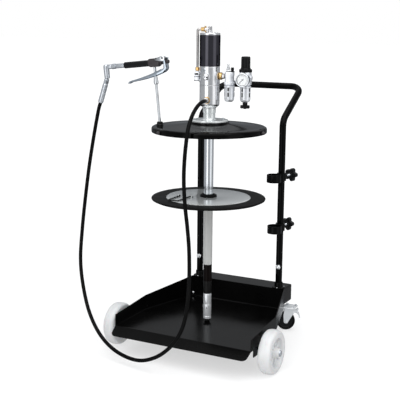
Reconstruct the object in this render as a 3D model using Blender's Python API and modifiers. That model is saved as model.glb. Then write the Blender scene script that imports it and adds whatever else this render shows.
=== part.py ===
"""Air-operated grease pump on a drum trolley, with its control gun and hose.

Metres, +Z up, +X to the right, +Y to the back (the handle side).  Everything is
laid out around the pump's own vertical axis and then moved, as one, so that the
origin is the bottom centre of the object's box with the free hose left out.
"""
import math

import bmesh
import bpy
from mathutils import Matrix, Vector

# ---------------------------------------------------------------- driving sizes
GAP = 0.0004                # clearance between pieces that touch
FINE = 32                   # sides of a large round piece
COARSE = 16                 # sides of a small round piece

# trolley
SHEET = 0.003               # tray sheet thickness
FLOOR_TOP = 0.102           # tray floor, upper face
TRAY_HALF = 0.2685          # half width of the front of the tray
REAR_HALF = 0.198           # half width at the ledge
FRONT_Y = -0.204            # front edge of the tray floor
KINK_Y = 0.0094             # where the side walls start to close in
LEDGE_FRONT_Y = 0.255
LEDGE_BACK_Y = 0.342
LEDGE_TOP = 0.184
LEDGE_SKIRT = 0.122         # bottom of the ledge's end plates
WALL_FRONT_TOP = 0.143
WALL_KINK_TOP = 0.158
LIP_Y = -0.245              # foot of the loading ramp
LIP_Z = 0.078
LIP_ROUND = 0.018

WHEEL_R = 0.0785
WHEEL_WIDTH = 0.0455
WHEEL_X = 0.3101
WHEEL_Y = -0.1205
AXLE_R = 0.008
CARRIER_X = 0.258           # axle carrier cheeks

CASTER_R = 0.036
CASTER_X = 0.196            # swivel axis
CASTER_Y = 0.334
CASTER_TRAIL = 0.015
CASTER_TURN = math.radians(26.0)   # how the casters stand at rest
CASTER_TOP = 0.0942
CASTER_WIDTH = 0.024
PEDAL_Z = 0.0745            # pivot of the brake pedal, between the fork's cheeks

LEG_X = 0.1712
LEG_Y = 0.2707
TUBE_R = 0.0127             # handle tube
BEND_Z = 0.832              # where the legs lean back
BAR_Y = 0.4543
BAR_Z = 0.945

CLAMP_HEIGHTS = {"upper": 0.6186, "lower": 0.4250}
CLAMP_TURNS = {"upper": math.radians(12.0), "lower": math.radians(3.0)}
CLAMP_REACH = 0.050         # leg axis to ring axis
RING_R = 0.027
RING_BORE = 0.0235
CLAMP_HEIGHT = 0.029
KNOB_REACH = 0.066          # leg axis to the middle of the star knob

# pump column, from the foot up
TIP_BOTTOM = 0.1028
FOOT_BOTTOM = 0.1134
BARREL_BOTTOM = 0.2099
SLEEVE_BOTTOM = 0.3202
SLEEVE_TOP = 0.5352
TUBE_TOP = 0.7946
SUCTION_R = 0.0170
SLEEVE_R = 0.01635
BARREL_R = 0.0155
FOOT_R = 0.0144
ROD_R = 0.006
ROD_BORE = 0.0075
PLATE_BORE = 0.0112         # the priming plate works inside the foot

FOLLOWER_Z = 0.560          # underside of the rubber plate
FOLLOWER_R = 0.2057
FOLLOWER_BORE = 0.0181
DISC_R = 0.153
BAIL_X = -0.068             # pivot of the lifting bail, which lies flat at rest
BAIL_Y = -0.050
BAIL_HALF = 0.027
BAIL_LENGTH = 0.092
COVER_R = 0.205
COVER_TOP = 0.8265
COVER_BOTTOM = 0.8060
DOME_R = 0.162              # the dome rises inside this radius
BUNG_R = 0.030
FLANGE_R = 0.0673
FLANGE_TOP = 0.8505

# air motor
MOTOR_TURN = math.radians(12.0)    # the motor stands turned in the cover
MOTOR_R = 0.0354
BORE_R = 0.0318
MOTOR_BOTTOM = 0.898
BODY_SPLIT = 0.9721
BODY_TOP = 1.0379
CYLINDER_TOP = 1.1444
CYLINDER_R = 0.0363
PISTON_Z = 1.047
STROKE = 0.075

# air line, measured out from the pump axis
INLET_Z = 1.004
LUBE_X = 0.0715
REG_X = 0.1285
LINE_BODY_BOTTOM = 0.9740
LINE_BODY_TOP = 1.0190
BOWL_BOTTOM = 0.9150
GAUGE_FRONT = 0.055
GAUGE_R = 0.0235
GAUGE_Z = 0.995
PORT_X = 0.1515

# control gun
GUN_ORIGIN = (-0.184, -0.070, 1.0465)
GUN_TILT = math.radians(6.1)
GRIP_R = 0.0113
NOZZLE_END = 0.2160
PIVOT = (0.0417, 0.0136)
FERRULE_TOP = (-0.2047, -0.0425)   # in the gun's own x and z
FERRULE_ANGLE = math.radians(24.7)
FERRULE_LENGTH = 0.0915

HOSE_R = 0.00675
HOSE_SPACING = 0.030

# ---------------------------------------------------------------- materials
PAINTS = {
    "black_paint": ((0.012, 0.012, 0.013), 0.25, 0.0),
    "black_rubber": ((0.015, 0.015, 0.016), 0.75, 0.0),
    "black_plastic": ((0.018, 0.018, 0.020), 0.50, 0.0),
    "zinc": ((0.62, 0.63, 0.64), 0.32, 1.0),
    "steel": ((0.55, 0.55, 0.56), 0.28, 1.0),
    "chrome": ((0.78, 0.80, 0.82), 0.12, 1.0),
    "aluminium": ((0.70, 0.71, 0.72), 0.30, 1.0),
    "brass": ((0.72, 0.52, 0.24), 0.30, 1.0),
    "white_nylon": ((0.86, 0.86, 0.86), 0.45, 0.0),
    "grey_sleeve": ((0.62, 0.61, 0.59), 0.45, 0.0),
    "white_dial": ((0.88, 0.90, 0.90), 0.20, 0.0),
    "dark_metal": ((0.10, 0.095, 0.090), 0.40, 1.0),
}


# ---------------------------------------------------------------- tools
def clear_scene():
    for old in list(bpy.data.objects):
        bpy.data.objects.remove(old, do_unlink=True)


def make_materials():
    made = {}
    for name, (colour, roughness, metallic) in PAINTS.items():
        paint = bpy.data.materials.new(name)
        paint.use_nodes = True
        shader = paint.node_tree.nodes["Principled BSDF"]
        shader.inputs["Base Color"].default_value = (*colour, 1.0)
        shader.inputs["Roughness"].default_value = roughness
        shader.inputs["Metallic"].default_value = metallic
        made[name] = paint
    return made


def make_collection(name):
    group = bpy.data.collections.new(name)
    bpy.context.scene.collection.children.link(group)
    return group


clear_scene()
MATERIALS = make_materials()
PARTS = make_collection("grease_pump_set")
CUTTERS = make_collection("cutters")


def make_empty(name, parent=None, location=(0, 0, 0), rotation=(0, 0, 0)):
    empty = bpy.data.objects.new(name, None)
    PARTS.objects.link(empty)
    empty.parent = parent
    empty.location = location
    empty.rotation_euler = rotation
    return empty


ROOT = make_empty("pump_axis")
MOTOR = make_empty("motor_frame", ROOT, rotation=(0, 0, MOTOR_TURN))
GUN = make_empty("gun_frame", ROOT, GUN_ORIGIN, (0, -GUN_TILT, 0))


def place(name, data, paint, parent=ROOT, location=(0, 0, 0), rotation=(0, 0, 0)):
    thing = bpy.data.objects.new(name, data)
    PARTS.objects.link(thing)
    thing.parent = parent
    thing.location = location
    thing.rotation_euler = rotation
    if paint:
        data.materials.append(MATERIALS[paint])
    return thing


def round_shading(mesh):
    mesh.shade_smooth()
    mesh.set_sharp_from_angle(angle=math.radians(35))


def turned(name, profile, paint, sides=FINE, ring=False, **where):
    """A turned piece.  The profile holds (radius, height) points, top to bottom."""
    mesh = bpy.data.meshes.new(name)
    shape = bmesh.new()
    points = [shape.verts.new((radius, 0.0, height)) for radius, height in profile]
    for first, second in zip(points, points[1:]):
        shape.edges.new((first, second))
    if ring:
        shape.edges.new((points[-1], points[0]))
    shape.to_mesh(mesh)
    shape.free()
    thing = place(name, mesh, paint, **where)
    screw = thing.modifiers.new("turn", "SCREW")
    screw.axis = "Z"
    screw.angle = math.tau
    screw.steps = sides
    screw.render_steps = sides
    screw.use_merge_vertices = True
    screw.merge_threshold = 0.00005
    screw.use_smooth_shade = True
    return thing


def rod(name, radius, top, bottom, paint, sides=COARSE, **where):
    profile = [(0, top), (radius, top), (radius, bottom), (0, bottom)]
    return turned(name, profile, paint, sides, **where)


def sleeve(name, outer, inner, top, bottom, paint, sides=FINE, **where):
    profile = [(inner, top), (outer, top), (outer, bottom), (inner, bottom)]
    return turned(name, profile, paint, sides, ring=True, **where)


def block(name, size, centre, paint, bevel=0.0, **where):
    """A box: size along x, y, z, and the middle of it in its object's own frame."""
    mesh = bpy.data.meshes.new(name)
    shape = bmesh.new()
    shift = Matrix.Translation(centre) @ Matrix.Diagonal((*size, 1.0))
    bmesh.ops.create_cube(shape, size=1.0, matrix=shift)
    shape.to_mesh(mesh)
    shape.free()
    thing = place(name, mesh, paint, **where)
    if bevel:
        soften(thing, bevel)
    return thing


def soften(thing, width, segments=2):
    edge = thing.modifiers.new("soften", "BEVEL")
    edge.width = width
    edge.segments = segments
    edge.limit_method = "ANGLE"
    edge.angle_limit = math.radians(40)


def tube(name, points, radius, paint, resolution=2, **where):
    curve = bpy.data.curves.new(name, "CURVE")
    curve.dimensions = "3D"
    curve.bevel_depth = radius
    curve.bevel_resolution = resolution
    curve.use_fill_caps = True
    line = curve.splines.new("POLY")
    line.points.add(len(points) - 1)
    for knot, point in zip(line.points, points):
        knot.co = (*point, 1.0)
    return place(name, curve, paint, **where)


def sheet_outline(name, outlines, thickness, paint, **where):
    """A flat plate in x and y; outlines after the first are its holes."""
    curve = bpy.data.curves.new(name, "CURVE")
    curve.dimensions = "2D"
    curve.fill_mode = "BOTH"
    curve.extrude = thickness / 2
    for outline in outlines:
        line = curve.splines.new("POLY")
        line.points.add(len(outline) - 1)
        for knot, point in zip(line.points, outline):
            knot.co = (point[0], point[1], 0.0, 1.0)
        line.use_cyclic_u = True
    return place(name, curve, paint, **where)


def as_mesh(thing):
    """Turn a curve object into a welded mesh object that booleans can use."""
    bpy.context.view_layer.update()
    depsgraph = bpy.context.evaluated_depsgraph_get()
    mesh = bpy.data.meshes.new_from_object(thing.evaluated_get(depsgraph))
    shape = bmesh.new()
    shape.from_mesh(mesh)
    bmesh.ops.remove_doubles(shape, verts=shape.verts, dist=0.00001)
    bmesh.ops.recalc_face_normals(shape, faces=shape.faces)
    shape.to_mesh(mesh)
    shape.free()
    name = thing.name
    parent = thing.parent
    local = thing.matrix_basis.copy()
    bpy.data.objects.remove(thing, do_unlink=True)
    solid = bpy.data.objects.new(name, mesh)
    PARTS.objects.link(solid)
    solid.parent = parent
    solid.matrix_basis = local
    return solid


def combine(thing, others, operation):
    for other in others:
        step = thing.modifiers.new("combine", "BOOLEAN")
        step.operation = operation
        step.object = other
        for group in list(other.users_collection):
            group.objects.unlink(other)
        CUTTERS.objects.link(other)
        other.hide_render = True
        other.display_type = "WIRE"
        other.name = thing.name + "_tool_" + other.name
    return thing


def cut(thing, *others):
    return combine(thing, others, "DIFFERENCE")


def weld(thing, *others):
    return combine(thing, others, "UNION")


def arc(centre, radius, start, end, steps):
    """Points of a flat arc, angles in degrees."""
    points = []
    for step in range(steps + 1):
        angle = math.radians(start + (end - start) * step / steps)
        x = centre[0] + radius * math.cos(angle)
        y = centre[1] + radius * math.sin(angle)
        points.append((x, y))
    return points


def circle(centre, radius, sides):
    return arc(centre, radius, 0, 360 - 360 / sides, sides - 1)


def rounded_path(corners, radius, steps=5):
    """The polyline through the corners, each inner corner turned by an arc."""
    points = [Vector(corners[0])]
    for before, here, after in zip(corners, corners[1:], corners[2:]):
        here = Vector(here)
        back = (Vector(before) - here).normalized()
        ahead = (Vector(after) - here).normalized()
        half = back.angle(ahead) / 2
        reach = radius / math.tan(half)
        start = here + back * reach
        end = here + ahead * reach
        centre = here + (back + ahead).normalized() * (radius / math.sin(half))
        sweep = math.pi - 2 * half
        for step in range(steps + 1):
            angle = sweep * step / steps
            first = (start - centre) * math.sin(sweep - angle)
            second = (end - centre) * math.sin(angle)
            points.append(centre + (first + second) / math.sin(sweep))
    points.append(Vector(corners[-1]))
    return points


def smooth_route(knots, spacing):
    """Evenly spaced points on a smooth curve through the knots."""
    knots = [Vector(knot) for knot in knots]
    ends = [2 * knots[0] - knots[1]] + knots + [2 * knots[-1] - knots[-2]]
    fine = []
    for p0, p1, p2, p3 in zip(ends, ends[1:], ends[2:], ends[3:]):
        for step in range(24):
            t = step / 24
            a = 2 * p1
            b = (p2 - p0) * t
            c = (2 * p0 - 5 * p1 + 4 * p2 - p3) * t ** 2
            d = (3 * p1 - p0 - 3 * p2 + p3) * t ** 3
            fine.append((a + b + c + d) / 2)
    fine.append(knots[-1])
    lengths = [0.0]
    for first, second in zip(fine, fine[1:]):
        lengths.append(lengths[-1] + (second - first).length)
    count = max(2, round(lengths[-1] / spacing))
    route = []
    index = 0
    for step in range(count + 1):
        target = lengths[-1] * step / count
        while index < len(fine) - 2 and lengths[index + 1] < target:
            index += 1
        share = (target - lengths[index]) / (lengths[index + 1] - lengths[index])
        route.append(fine[index].lerp(fine[index + 1], min(1.0, share)))
    return route


SIDES = (("left", -1), ("right", 1))
ALONG_X = (0, math.pi / 2, 0)          # a turned piece's own +Z laid along +X
ALONG_FRONT = (math.pi / 2, 0, 0)      # its own +Z laid along -Y


# ---------------------------------------------------------------- trolley
def wall_top(y):
    """Height of the side wall's upper edge."""
    if y <= KINK_Y:
        share = (y - FRONT_Y) / (KINK_Y - FRONT_Y)
        return WALL_FRONT_TOP + share * (WALL_KINK_TOP - WALL_FRONT_TOP)
    share = (y - KINK_Y) / (LEDGE_FRONT_Y - KINK_Y)
    return WALL_KINK_TOP + share * (LEDGE_TOP - WALL_KINK_TOP)


def extrude_edges(shape, edges):
    """Pull new edges out of these; returns the new vertices."""
    grown = bmesh.ops.extrude_edge_only(shape, edges=edges)["geom"]
    return [item for item in grown if isinstance(item, bmesh.types.BMVert)]


def edges_where(shape, test):
    return [edge for edge in shape.edges if all(test(v.co) for v in edge.verts)]


def near(first, second):
    return abs(first - second) < 0.0005


def make_tray():
    right = [(TRAY_HALF, FRONT_Y), (TRAY_HALF, KINK_Y), (REAR_HALF, LEDGE_FRONT_Y)]
    left = [(-x, y) for x, y in reversed(right)]
    shape = bmesh.new()
    corners = [shape.verts.new((x, y, FLOOR_TOP)) for x, y in right + left]
    rim = []
    for first, second in zip(corners, corners[1:] + corners[:1]):
        rim.append(shape.edges.new((first, second)))
    bmesh.ops.contextual_create(shape, geom=rim)
    for face in shape.faces:
        if face.normal.z < 0:
            face.normal_flip()

    raise_ramp(shape)
    front_edge = lambda co: near(co.y, FRONT_Y) and near(co.z, FLOOR_TOP)
    ramp = lambda co: co.y < FRONT_Y - 0.001
    sides = [e for e in shape.edges if e.is_boundary
             and not any(ramp(v.co) for v in e.verts)
             and not all(front_edge(v.co) for v in e.verts)]
    for vert in extrude_edges(shape, sides):
        vert.co.z = wall_top(vert.co.y)

    raise_ledge(shape)
    bmesh.ops.remove_doubles(shape, verts=shape.verts, dist=0.00002)
    bmesh.ops.recalc_face_normals(shape, faces=shape.faces)
    floor = min(shape.faces, key=lambda f: abs(f.calc_center_median().z - FLOOR_TOP))
    if floor.normal.z < 0:
        bmesh.ops.reverse_faces(shape, faces=shape.faces)
    mesh = bpy.data.meshes.new("tray")
    shape.to_mesh(mesh)
    shape.free()
    tray = place("tray", mesh, "black_paint")
    skin = tray.modifiers.new("skin", "SOLIDIFY")
    skin.thickness = SHEET
    skin.offset = -1
    skin.use_even_offset = True
    return tray


def raise_ramp(shape):
    """The loading ramp that folds down from the floor's front edge."""
    front = edges_where(shape, lambda co: near(co.y, FRONT_Y))
    for vert in extrude_edges(shape, front):
        vert.co.y = LIP_Y
        vert.co.z = LIP_Z
    tips = [v for v in shape.verts if near(v.co.y, LIP_Y)]
    bmesh.ops.bevel(shape, geom=tips, offset=LIP_ROUND, segments=4, profile=0.5,
                    affect="VERTICES")


def raise_ledge(shape):
    """The raised shelf at the back, with its end plates and rear skirt."""
    step = LEDGE_FRONT_Y + 0.010
    edge = edges_where(shape, lambda co: near(co.y, LEDGE_FRONT_Y) and near(co.z, LEDGE_TOP))
    for vert in extrude_edges(shape, edge):
        vert.co.y = step
    edge = edges_where(shape, lambda co: near(co.y, step) and near(co.z, LEDGE_TOP))
    for vert in extrude_edges(shape, edge):
        vert.co.y = LEDGE_BACK_Y
    shelf = lambda co: co.y > step - 0.001 and near(co.z, LEDGE_TOP)
    outer = [e for e in edges_where(shape, shelf) if e.is_boundary]
    for vert in extrude_edges(shape, outer):
        vert.co.z = LEDGE_SKIRT


def make_handle():
    base = LEDGE_TOP + GAP
    leg = [(-LEG_X, LEG_Y, base + 0.001), (-LEG_X, LEG_Y, BEND_Z), (-LEG_X, BAR_Y, BAR_Z)]
    other = [(-x, y, z) for x, y, z in reversed(leg)]
    route = rounded_path(leg + other, 0.045)
    handle = as_mesh(tube("handle", route, TUBE_R, None, resolution=2))
    handle.data.materials.append(MATERIALS["black_paint"])
    round_shading(handle.data)
    feet = []
    for side, sign in SIDES:
        profile = [(0, base + 0.020), (0.0160, base + 0.020), (0.0172, base + 0.004),
                   (0.0250, base + 0.003), (0.0250, base), (0, base)]
        place_at = (sign * LEG_X, LEG_Y, 0)
        feet.append(turned("foot_" + side, profile, None, 16, location=place_at))
    return weld(handle, *feet)


def make_front_wheels():
    half = WHEEL_WIDTH / 2
    bore = AXLE_R + GAP
    for side, sign in SIDES:
        profile = [
            (bore, half + 0.008), (0.0150, half + 0.008), (0.0165, half - 0.003),
            (0.0560, half - 0.006), (0.0600, half - 0.001), (0.0700, half),
            (0.0752, half - 0.0035), (WHEEL_R, half - 0.013), (WHEEL_R, -half + 0.013),
            (0.0752, -half + 0.0035), (0.0700, -half), (0.0160, -half), (bore, -half),
        ]
        turned("front_wheel_" + side, profile, "white_nylon", 24, ring=True,
               location=(sign * WHEEL_X, WHEEL_Y, WHEEL_R),
               rotation=(0, sign * math.pi / 2, 0))


def make_axle():
    """The axle with its riveted caps, and the carrier that hangs it from the floor."""
    end = WHEEL_X + WHEEL_WIDTH / 2 + 0.008 + GAP
    cap = 0.0115
    profile = [(0, end + 0.006), (cap - 0.002, end + 0.006), (cap, end + 0.003), (cap, end),
               (AXLE_R, end), (AXLE_R, -end), (cap, -end), (cap, -end - 0.003),
               (cap - 0.002, -end - 0.006), (0, -end - 0.006)]
    turned("front_axle", profile, "zinc", COARSE, location=(0, WHEEL_Y, WHEEL_R),
           rotation=ALONG_X)
    top = FLOOR_TOP - SHEET - 0.0014
    drop = 0.040
    body = block("axle_carrier", (2 * CARRIER_X, 0.060, drop), (0, 0, -drop / 2),
                 "black_paint", location=(0, WHEEL_Y, top))
    inside = block("inside", (2 * CARRIER_X - 0.008, 0.070, drop), (0, 0, -drop / 2 - 0.003),
                   None, location=(0, WHEEL_Y, top))
    bore = rod("bore", AXLE_R + GAP, CARRIER_X + 0.02, -CARRIER_X - 0.02, None,
               location=(0, WHEEL_Y, WHEEL_R), rotation=ALONG_X)
    cut(body, inside, bore)


def make_casters():
    bar_top = FLOOR_TOP - SHEET - GAP
    bar = block("caster_bar", (0.376, 0.120, bar_top - CASTER_TOP), (0, 0, 0), "black_paint",
                location=(0, 0.275, (bar_top + CASTER_TOP) / 2))
    plates = []
    for side, sign in SIDES:
        spot = (sign * CASTER_X, CASTER_Y, CASTER_TOP - 0.0011)
        plates.append(block("plate_" + side, (0.050, 0.050, 0.0040), (0, 0, 0), None,
                            location=spot))
    weld(bar, *plates)
    for side, sign in SIDES:
        make_caster(side, sign)


def make_caster(side, sign):
    """Fork, wheel and brake pedal; the wheel trails along the fork's own -X."""
    heading = CASTER_TURN
    spot = (sign * CASTER_X, CASTER_Y, 0)
    turn = (0, 0, heading)
    plate_bottom = CASTER_TOP - 0.0031
    crown = plate_bottom - GAP
    half = CASTER_WIDTH / 2
    trail = CASTER_TRAIL
    outline = [(0.022, crown), (-0.022, crown), (-0.0255, 0.062),
               (-trail - 0.008, CASTER_R - 0.003), (-trail - 0.004, CASTER_R - 0.008),
               (-trail + 0.004, CASTER_R - 0.008), (-trail + 0.008, CASTER_R - 0.003),
               (0.013, 0.066), (0.022, 0.078)]
    fork = as_mesh(sheet_outline("caster_fork_" + side, [outline], 2 * half + 0.008, None,
                                 location=spot, rotation=(math.pi / 2, 0, heading)))
    fork.data.materials.append(MATERIALS["zinc"])
    slot = block("slot", (0.090, 2 * half + 0.0032, 0.090), (-0.008, 0, 0.0385), None,
                 location=spot, rotation=turn)
    cut(fork, slot)
    pin = rod("pin", 0.0040, half + 0.0035, -half - 0.0035, None, 12,
              location=offset_along(spot, heading, -trail, CASTER_R),
              rotation=(math.pi / 2, 0, heading))
    pivot = rod("pivot", 0.0020, half + 0.0035, -half - 0.0035, None, 12,
                location=offset_along(spot, heading, 0.010, PEDAL_Z),
                rotation=(math.pi / 2, 0, heading))
    weld(fork, pin, pivot)

    tread = CASTER_R - 0.003
    rim = CASTER_R - 0.009
    profile = [(0.0046, half), (0.0090, half), (0.0100, half - 0.002),
               (rim - 0.002, half - 0.002), (rim, half), (tread, half),
               (CASTER_R, half - 0.004), (CASTER_R, -half + 0.004), (tread, -half),
               (rim, -half), (rim - 0.002, -half + 0.002), (0.0100, -half + 0.002),
               (0.0090, -half), (0.0046, -half)]
    turned("caster_wheel_" + side, profile, "black_rubber", 20, ring=True,
           location=offset_along(spot, heading, -trail, CASTER_R),
           rotation=(math.pi / 2, 0, heading))

    pedal_spot = offset_along(spot, heading, 0.010, PEDAL_Z)
    lie = (math.pi / 2, 0, heading)
    pedal_shape = [(-0.0040, 0.0040), (-0.0040, -0.0040), (0.0140, -0.0050),
                   (0.0240, -0.0150), (0.0270, -0.0260), (0.0310, -0.0250),
                   (0.0280, -0.0120), (0.0210, -0.0010), (0.0240, 0.0100),
                   (0.0210, 0.0120), (0.0120, 0.0040)]
    pedal = as_mesh(sheet_outline("caster_brake_" + side, [pedal_shape], 0.018, None,
                                  location=pedal_spot, rotation=lie))
    pedal.data.materials.append(MATERIALS["zinc"])
    cut(pedal, rod("bore", 0.0024, 0.03, -0.03, None, 12, location=pedal_spot, rotation=lie))


def offset_along(spot, heading, distance, height):
    return (spot[0] + distance * math.cos(heading), spot[1] + distance * math.sin(heading),
            height)


def clamp_outline():
    """The clamp seen from above: a collar for the leg joined to a ring in front."""
    web = 0.009
    collar = 0.0178
    collar_edge = math.degrees(math.asin(web / collar))
    ring_edge = math.degrees(math.asin(web / RING_R))
    outside = arc((0, 0), collar, -90 + collar_edge, 270 - collar_edge, 14)
    outside += arc((0, -CLAMP_REACH), RING_R, 90 + ring_edge, 450 - ring_edge, 22)
    leg_hole = circle((0, 0), TUBE_R + GAP + 0.0002, 20)
    ring_hole = circle((0, -CLAMP_REACH), RING_BORE, 24)
    return [outside, leg_hole, ring_hole]


def make_clamps():
    for level, height in CLAMP_HEIGHTS.items():
        turn = (0, 0, -CLAMP_TURNS[level])
        spot = (LEG_X, LEG_Y, height)
        clamp = as_mesh(sheet_outline("ring_clamp_" + level, clamp_outline(), CLAMP_HEIGHT,
                                      None, location=spot, rotation=turn))
        clamp.data.materials.append(MATERIALS["black_paint"])
        back = (-math.pi / 2, 0, turn[2])
        boss = rod("boss", 0.0085, 0.0280, 0.0150, None, COARSE, location=spot, rotation=back)
        bore = rod("bore", 0.0045, 0.0500, 0.0050, None, COARSE, location=spot, rotation=back)
        weld(clamp, boss)
        cut(clamp, bore)
        make_star_knob(level, spot, turn)


def make_star_knob(level, spot, turn):
    """A five-lobed knob on its screw; its own +Z runs back, away from the leg."""
    lobes = 5
    outline = []
    for step in range(lobes * 5):
        angle = math.tau * step / (lobes * 5)
        radius = 0.0205 + 0.0030 * math.cos(lobes * angle)
        outline.append((radius * math.cos(angle), radius * math.sin(angle)))
    lie_back = (-math.pi / 2, 0, turn[2])
    middle = Vector(spot) + Matrix.Rotation(turn[2], 3, "Z") @ Vector((0, KNOB_REACH, 0))
    knob = as_mesh(sheet_outline("star_knob_" + level, [outline], 0.017, None,
                                 location=middle, rotation=lie_back))
    knob.data.materials.append(MATERIALS["black_plastic"])
    reach = KNOB_REACH - TUBE_R - 0.0006
    shaft = rod("shaft", 0.0040, 0.002, -reach, None, 12, location=middle, rotation=lie_back)
    hub = turned("hub", [(0, 0.011), (0.007, 0.011), (0.009, 0.0075), (0.009, -0.012),
                         (0, -0.012)], None, COARSE, location=middle, rotation=lie_back)
    weld(knob, hub, shaft)


# ---------------------------------------------------------------- pump column
def make_column():
    sleeve("suction_tube", SUCTION_R, ROD_BORE + 0.004, TUBE_TOP, SLEEVE_TOP + GAP, "zinc", 28)
    profile = [(ROD_BORE, SLEEVE_TOP), (0.0176, SLEEVE_TOP), (0.0176, SLEEVE_TOP - 0.0075),
               (SLEEVE_R, SLEEVE_TOP - 0.0085), (SLEEVE_R, SLEEVE_BOTTOM + GAP),
               (ROD_BORE, SLEEVE_BOTTOM + GAP)]
    turned("lower_sleeve", profile, "grey_sleeve", 28, ring=True)
    profile = [(ROD_BORE, SLEEVE_BOTTOM), (BARREL_R, SLEEVE_BOTTOM),
               (BARREL_R, BARREL_BOTTOM + 0.003), (BARREL_R - 0.002, BARREL_BOTTOM + GAP),
               (ROD_BORE, BARREL_BOTTOM + GAP)]
    turned("pump_barrel", profile, "dark_metal", 28, ring=True)
    foot = turned("foot_valve", [(ROD_BORE, BARREL_BOTTOM), (FOOT_R, BARREL_BOTTOM),
                                 (FOOT_R, FOOT_BOTTOM + 0.001),
                                 (FOOT_R - 0.001, FOOT_BOTTOM), (PLATE_BORE, FOOT_BOTTOM),
                                 (PLATE_BORE, FOOT_BOTTOM + 0.0840),
                                 (ROD_BORE, FOOT_BOTTOM + 0.0860)],
                  "zinc", 20, ring=True)
    ports = []
    for turn in (0.35, 0.35 + math.pi / 2):
        ports.append(rod("port", 0.0030, 0.03, -0.03, None, 12, location=(0, 0, 0.1570),
                         rotation=(math.pi / 2, 0, turn)))
    cut(foot, *ports)
    profile = [(0, PISTON_Z - GAP), (ROD_R, PISTON_Z - GAP), (ROD_R, TIP_BOTTOM + 0.010),
               (0.0080, TIP_BOTTOM + 0.010), (0.0100, TIP_BOTTOM + 0.008),
               (0.0100, TIP_BOTTOM + 0.002), (0.0085, TIP_BOTTOM), (0, TIP_BOTTOM)]
    turned("drive_rod", profile, "steel", 20)
    profile = [(ROD_BORE, 0.8916), (0.0230, 0.8916), (0.0230, 0.8745), (0.0213, 0.8740),
               (0.0213, FLANGE_TOP + 0.002), (0.0240, FLANGE_TOP), (FLANGE_R, FLANGE_TOP),
               (FLANGE_R, FLANGE_TOP - 0.0070), (BUNG_R - 0.001, FLANGE_TOP - 0.0070),
               (BUNG_R - 0.001, TUBE_TOP + 0.004), (0.0200, TUBE_TOP + GAP),
               (ROD_BORE, TUBE_TOP + GAP)]
    turned("bung_flange", profile, "zinc", 32, ring=True)


def make_cover():
    """A shallow lid: a domed plate with a raised seat in the middle and a rolled rim."""
    top = COVER_TOP
    boss = FLANGE_TOP - 0.0074
    crown = boss - 0.0055
    outer = [(BUNG_R, boss), (0.0690, boss), (0.0710, boss - 0.0015), (0.0725, crown),
             (DOME_R, top), (COVER_R - 0.018, top), (COVER_R - 0.004, top - 0.0020),
             (COVER_R, top - 0.0065), (COVER_R, COVER_BOTTOM)]
    inner = [(COVER_R - 0.0025, COVER_BOTTOM), (COVER_R - 0.0025, top - 0.0060),
             (COVER_R - 0.018, top - 0.0025), (DOME_R, top - 0.0025),
             (0.0720, crown - 0.0025), (0.0690, boss - 0.0040), (BUNG_R, boss - 0.0040)]
    cover = turned("drum_cover", outer + inner, "black_paint", 40, ring=True)
    bores = []
    for index in range(3):
        angle = math.radians(120 * index)
        bores.append(rod("bore", 0.0034, COVER_R + 0.02, COVER_R - 0.02, None, 12,
                         location=(0, 0, COVER_BOTTOM + 0.0085),
                         rotation=(0, math.pi / 2, angle)))
        profile = [(0, COVER_R + 0.0095), (0.0050, COVER_R + 0.0095),
                   (0.0060, COVER_R + 0.0080), (0.0060, COVER_R + GAP),
                   (0.0030, COVER_R + GAP), (0.0030, COVER_R - 0.0080), (0, COVER_R - 0.0080)]
        turned("cover_screw_%d" % (index + 1), profile, "zinc", 12,
               location=(0, 0, COVER_BOTTOM + 0.0085), rotation=(0, math.pi / 2, angle))
    cut(cover, *bores)


def make_gun_holder():
    reach = NOZZLE_END - 0.004
    x = GUN_ORIGIN[0] + math.sin(GUN_TILT) * reach
    base = COVER_TOP + 0.0012
    profile = [(0.0066, base + 0.0120), (0.0100, base + 0.0120), (0.0108, base + 0.0105),
               (0.0108, base + 0.003), (0.0125, base + 0.002), (0.0125, base), (0, base),
               ]
    inner = [(0, base + 0.0018), (0.0066, base + 0.0018)]
    turned("gun_holder", profile + inner, "black_plastic", 20, ring=True,
           location=(x, GUN_ORIGIN[1], 0))


def make_follower():
    z = FOLLOWER_Z
    profile = [(FOLLOWER_BORE, z + 0.018), (0.0215, z + 0.0195), (0.0275, z + 0.0190),
               (0.0300, z + 0.0160),
               (0.0300, z + 0.0095), (DISC_R + GAP, z + 0.0095), (DISC_R + 0.004, z + 0.0110),
               (FOLLOWER_R - 0.004, z + 0.0110), (FOLLOWER_R, z + 0.0080),
               (FOLLOWER_R - 0.002, z + 0.0030), (FOLLOWER_R - 0.012, z), (FOLLOWER_BORE, z)]
    turned("follower_rubber", profile, "black_rubber", 40, ring=True)
    low = z + 0.0095 + GAP
    disc = sleeve("follower_disc", DISC_R - 0.001, 0.0304, low + 0.003, low, "zinc", 40)
    ears = []
    for sign in (-1, 1):
        ears.append(block("ear", (0.004, 0.0090, 0.0070), (0, 0, 0.0030), None,
                          location=(BAIL_X + sign * BAIL_HALF, BAIL_Y, low + 0.003)))
    weld(disc, *ears)
    pivot = low + 0.003 + 0.0030
    cut(disc, rod("bore", 0.0024, 0.05, -0.05, None, 12, location=(BAIL_X, BAIL_Y, pivot),
                  rotation=ALONG_X))
    inside = BAIL_HALF - 0.0080
    outside = BAIL_HALF + 0.0045
    corners = [(outside, 0, 0), (inside, 0, 0), (inside, -0.0100, 0),
               (inside, -BAIL_LENGTH, 0)]
    corners += [(-x, y, height) for x, y, height in reversed(corners)]
    route = rounded_path(corners, 0.0040, 3)
    tube("bail_handle", route, 0.0020, "zinc", 2, location=(BAIL_X, BAIL_Y, pivot))


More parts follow.
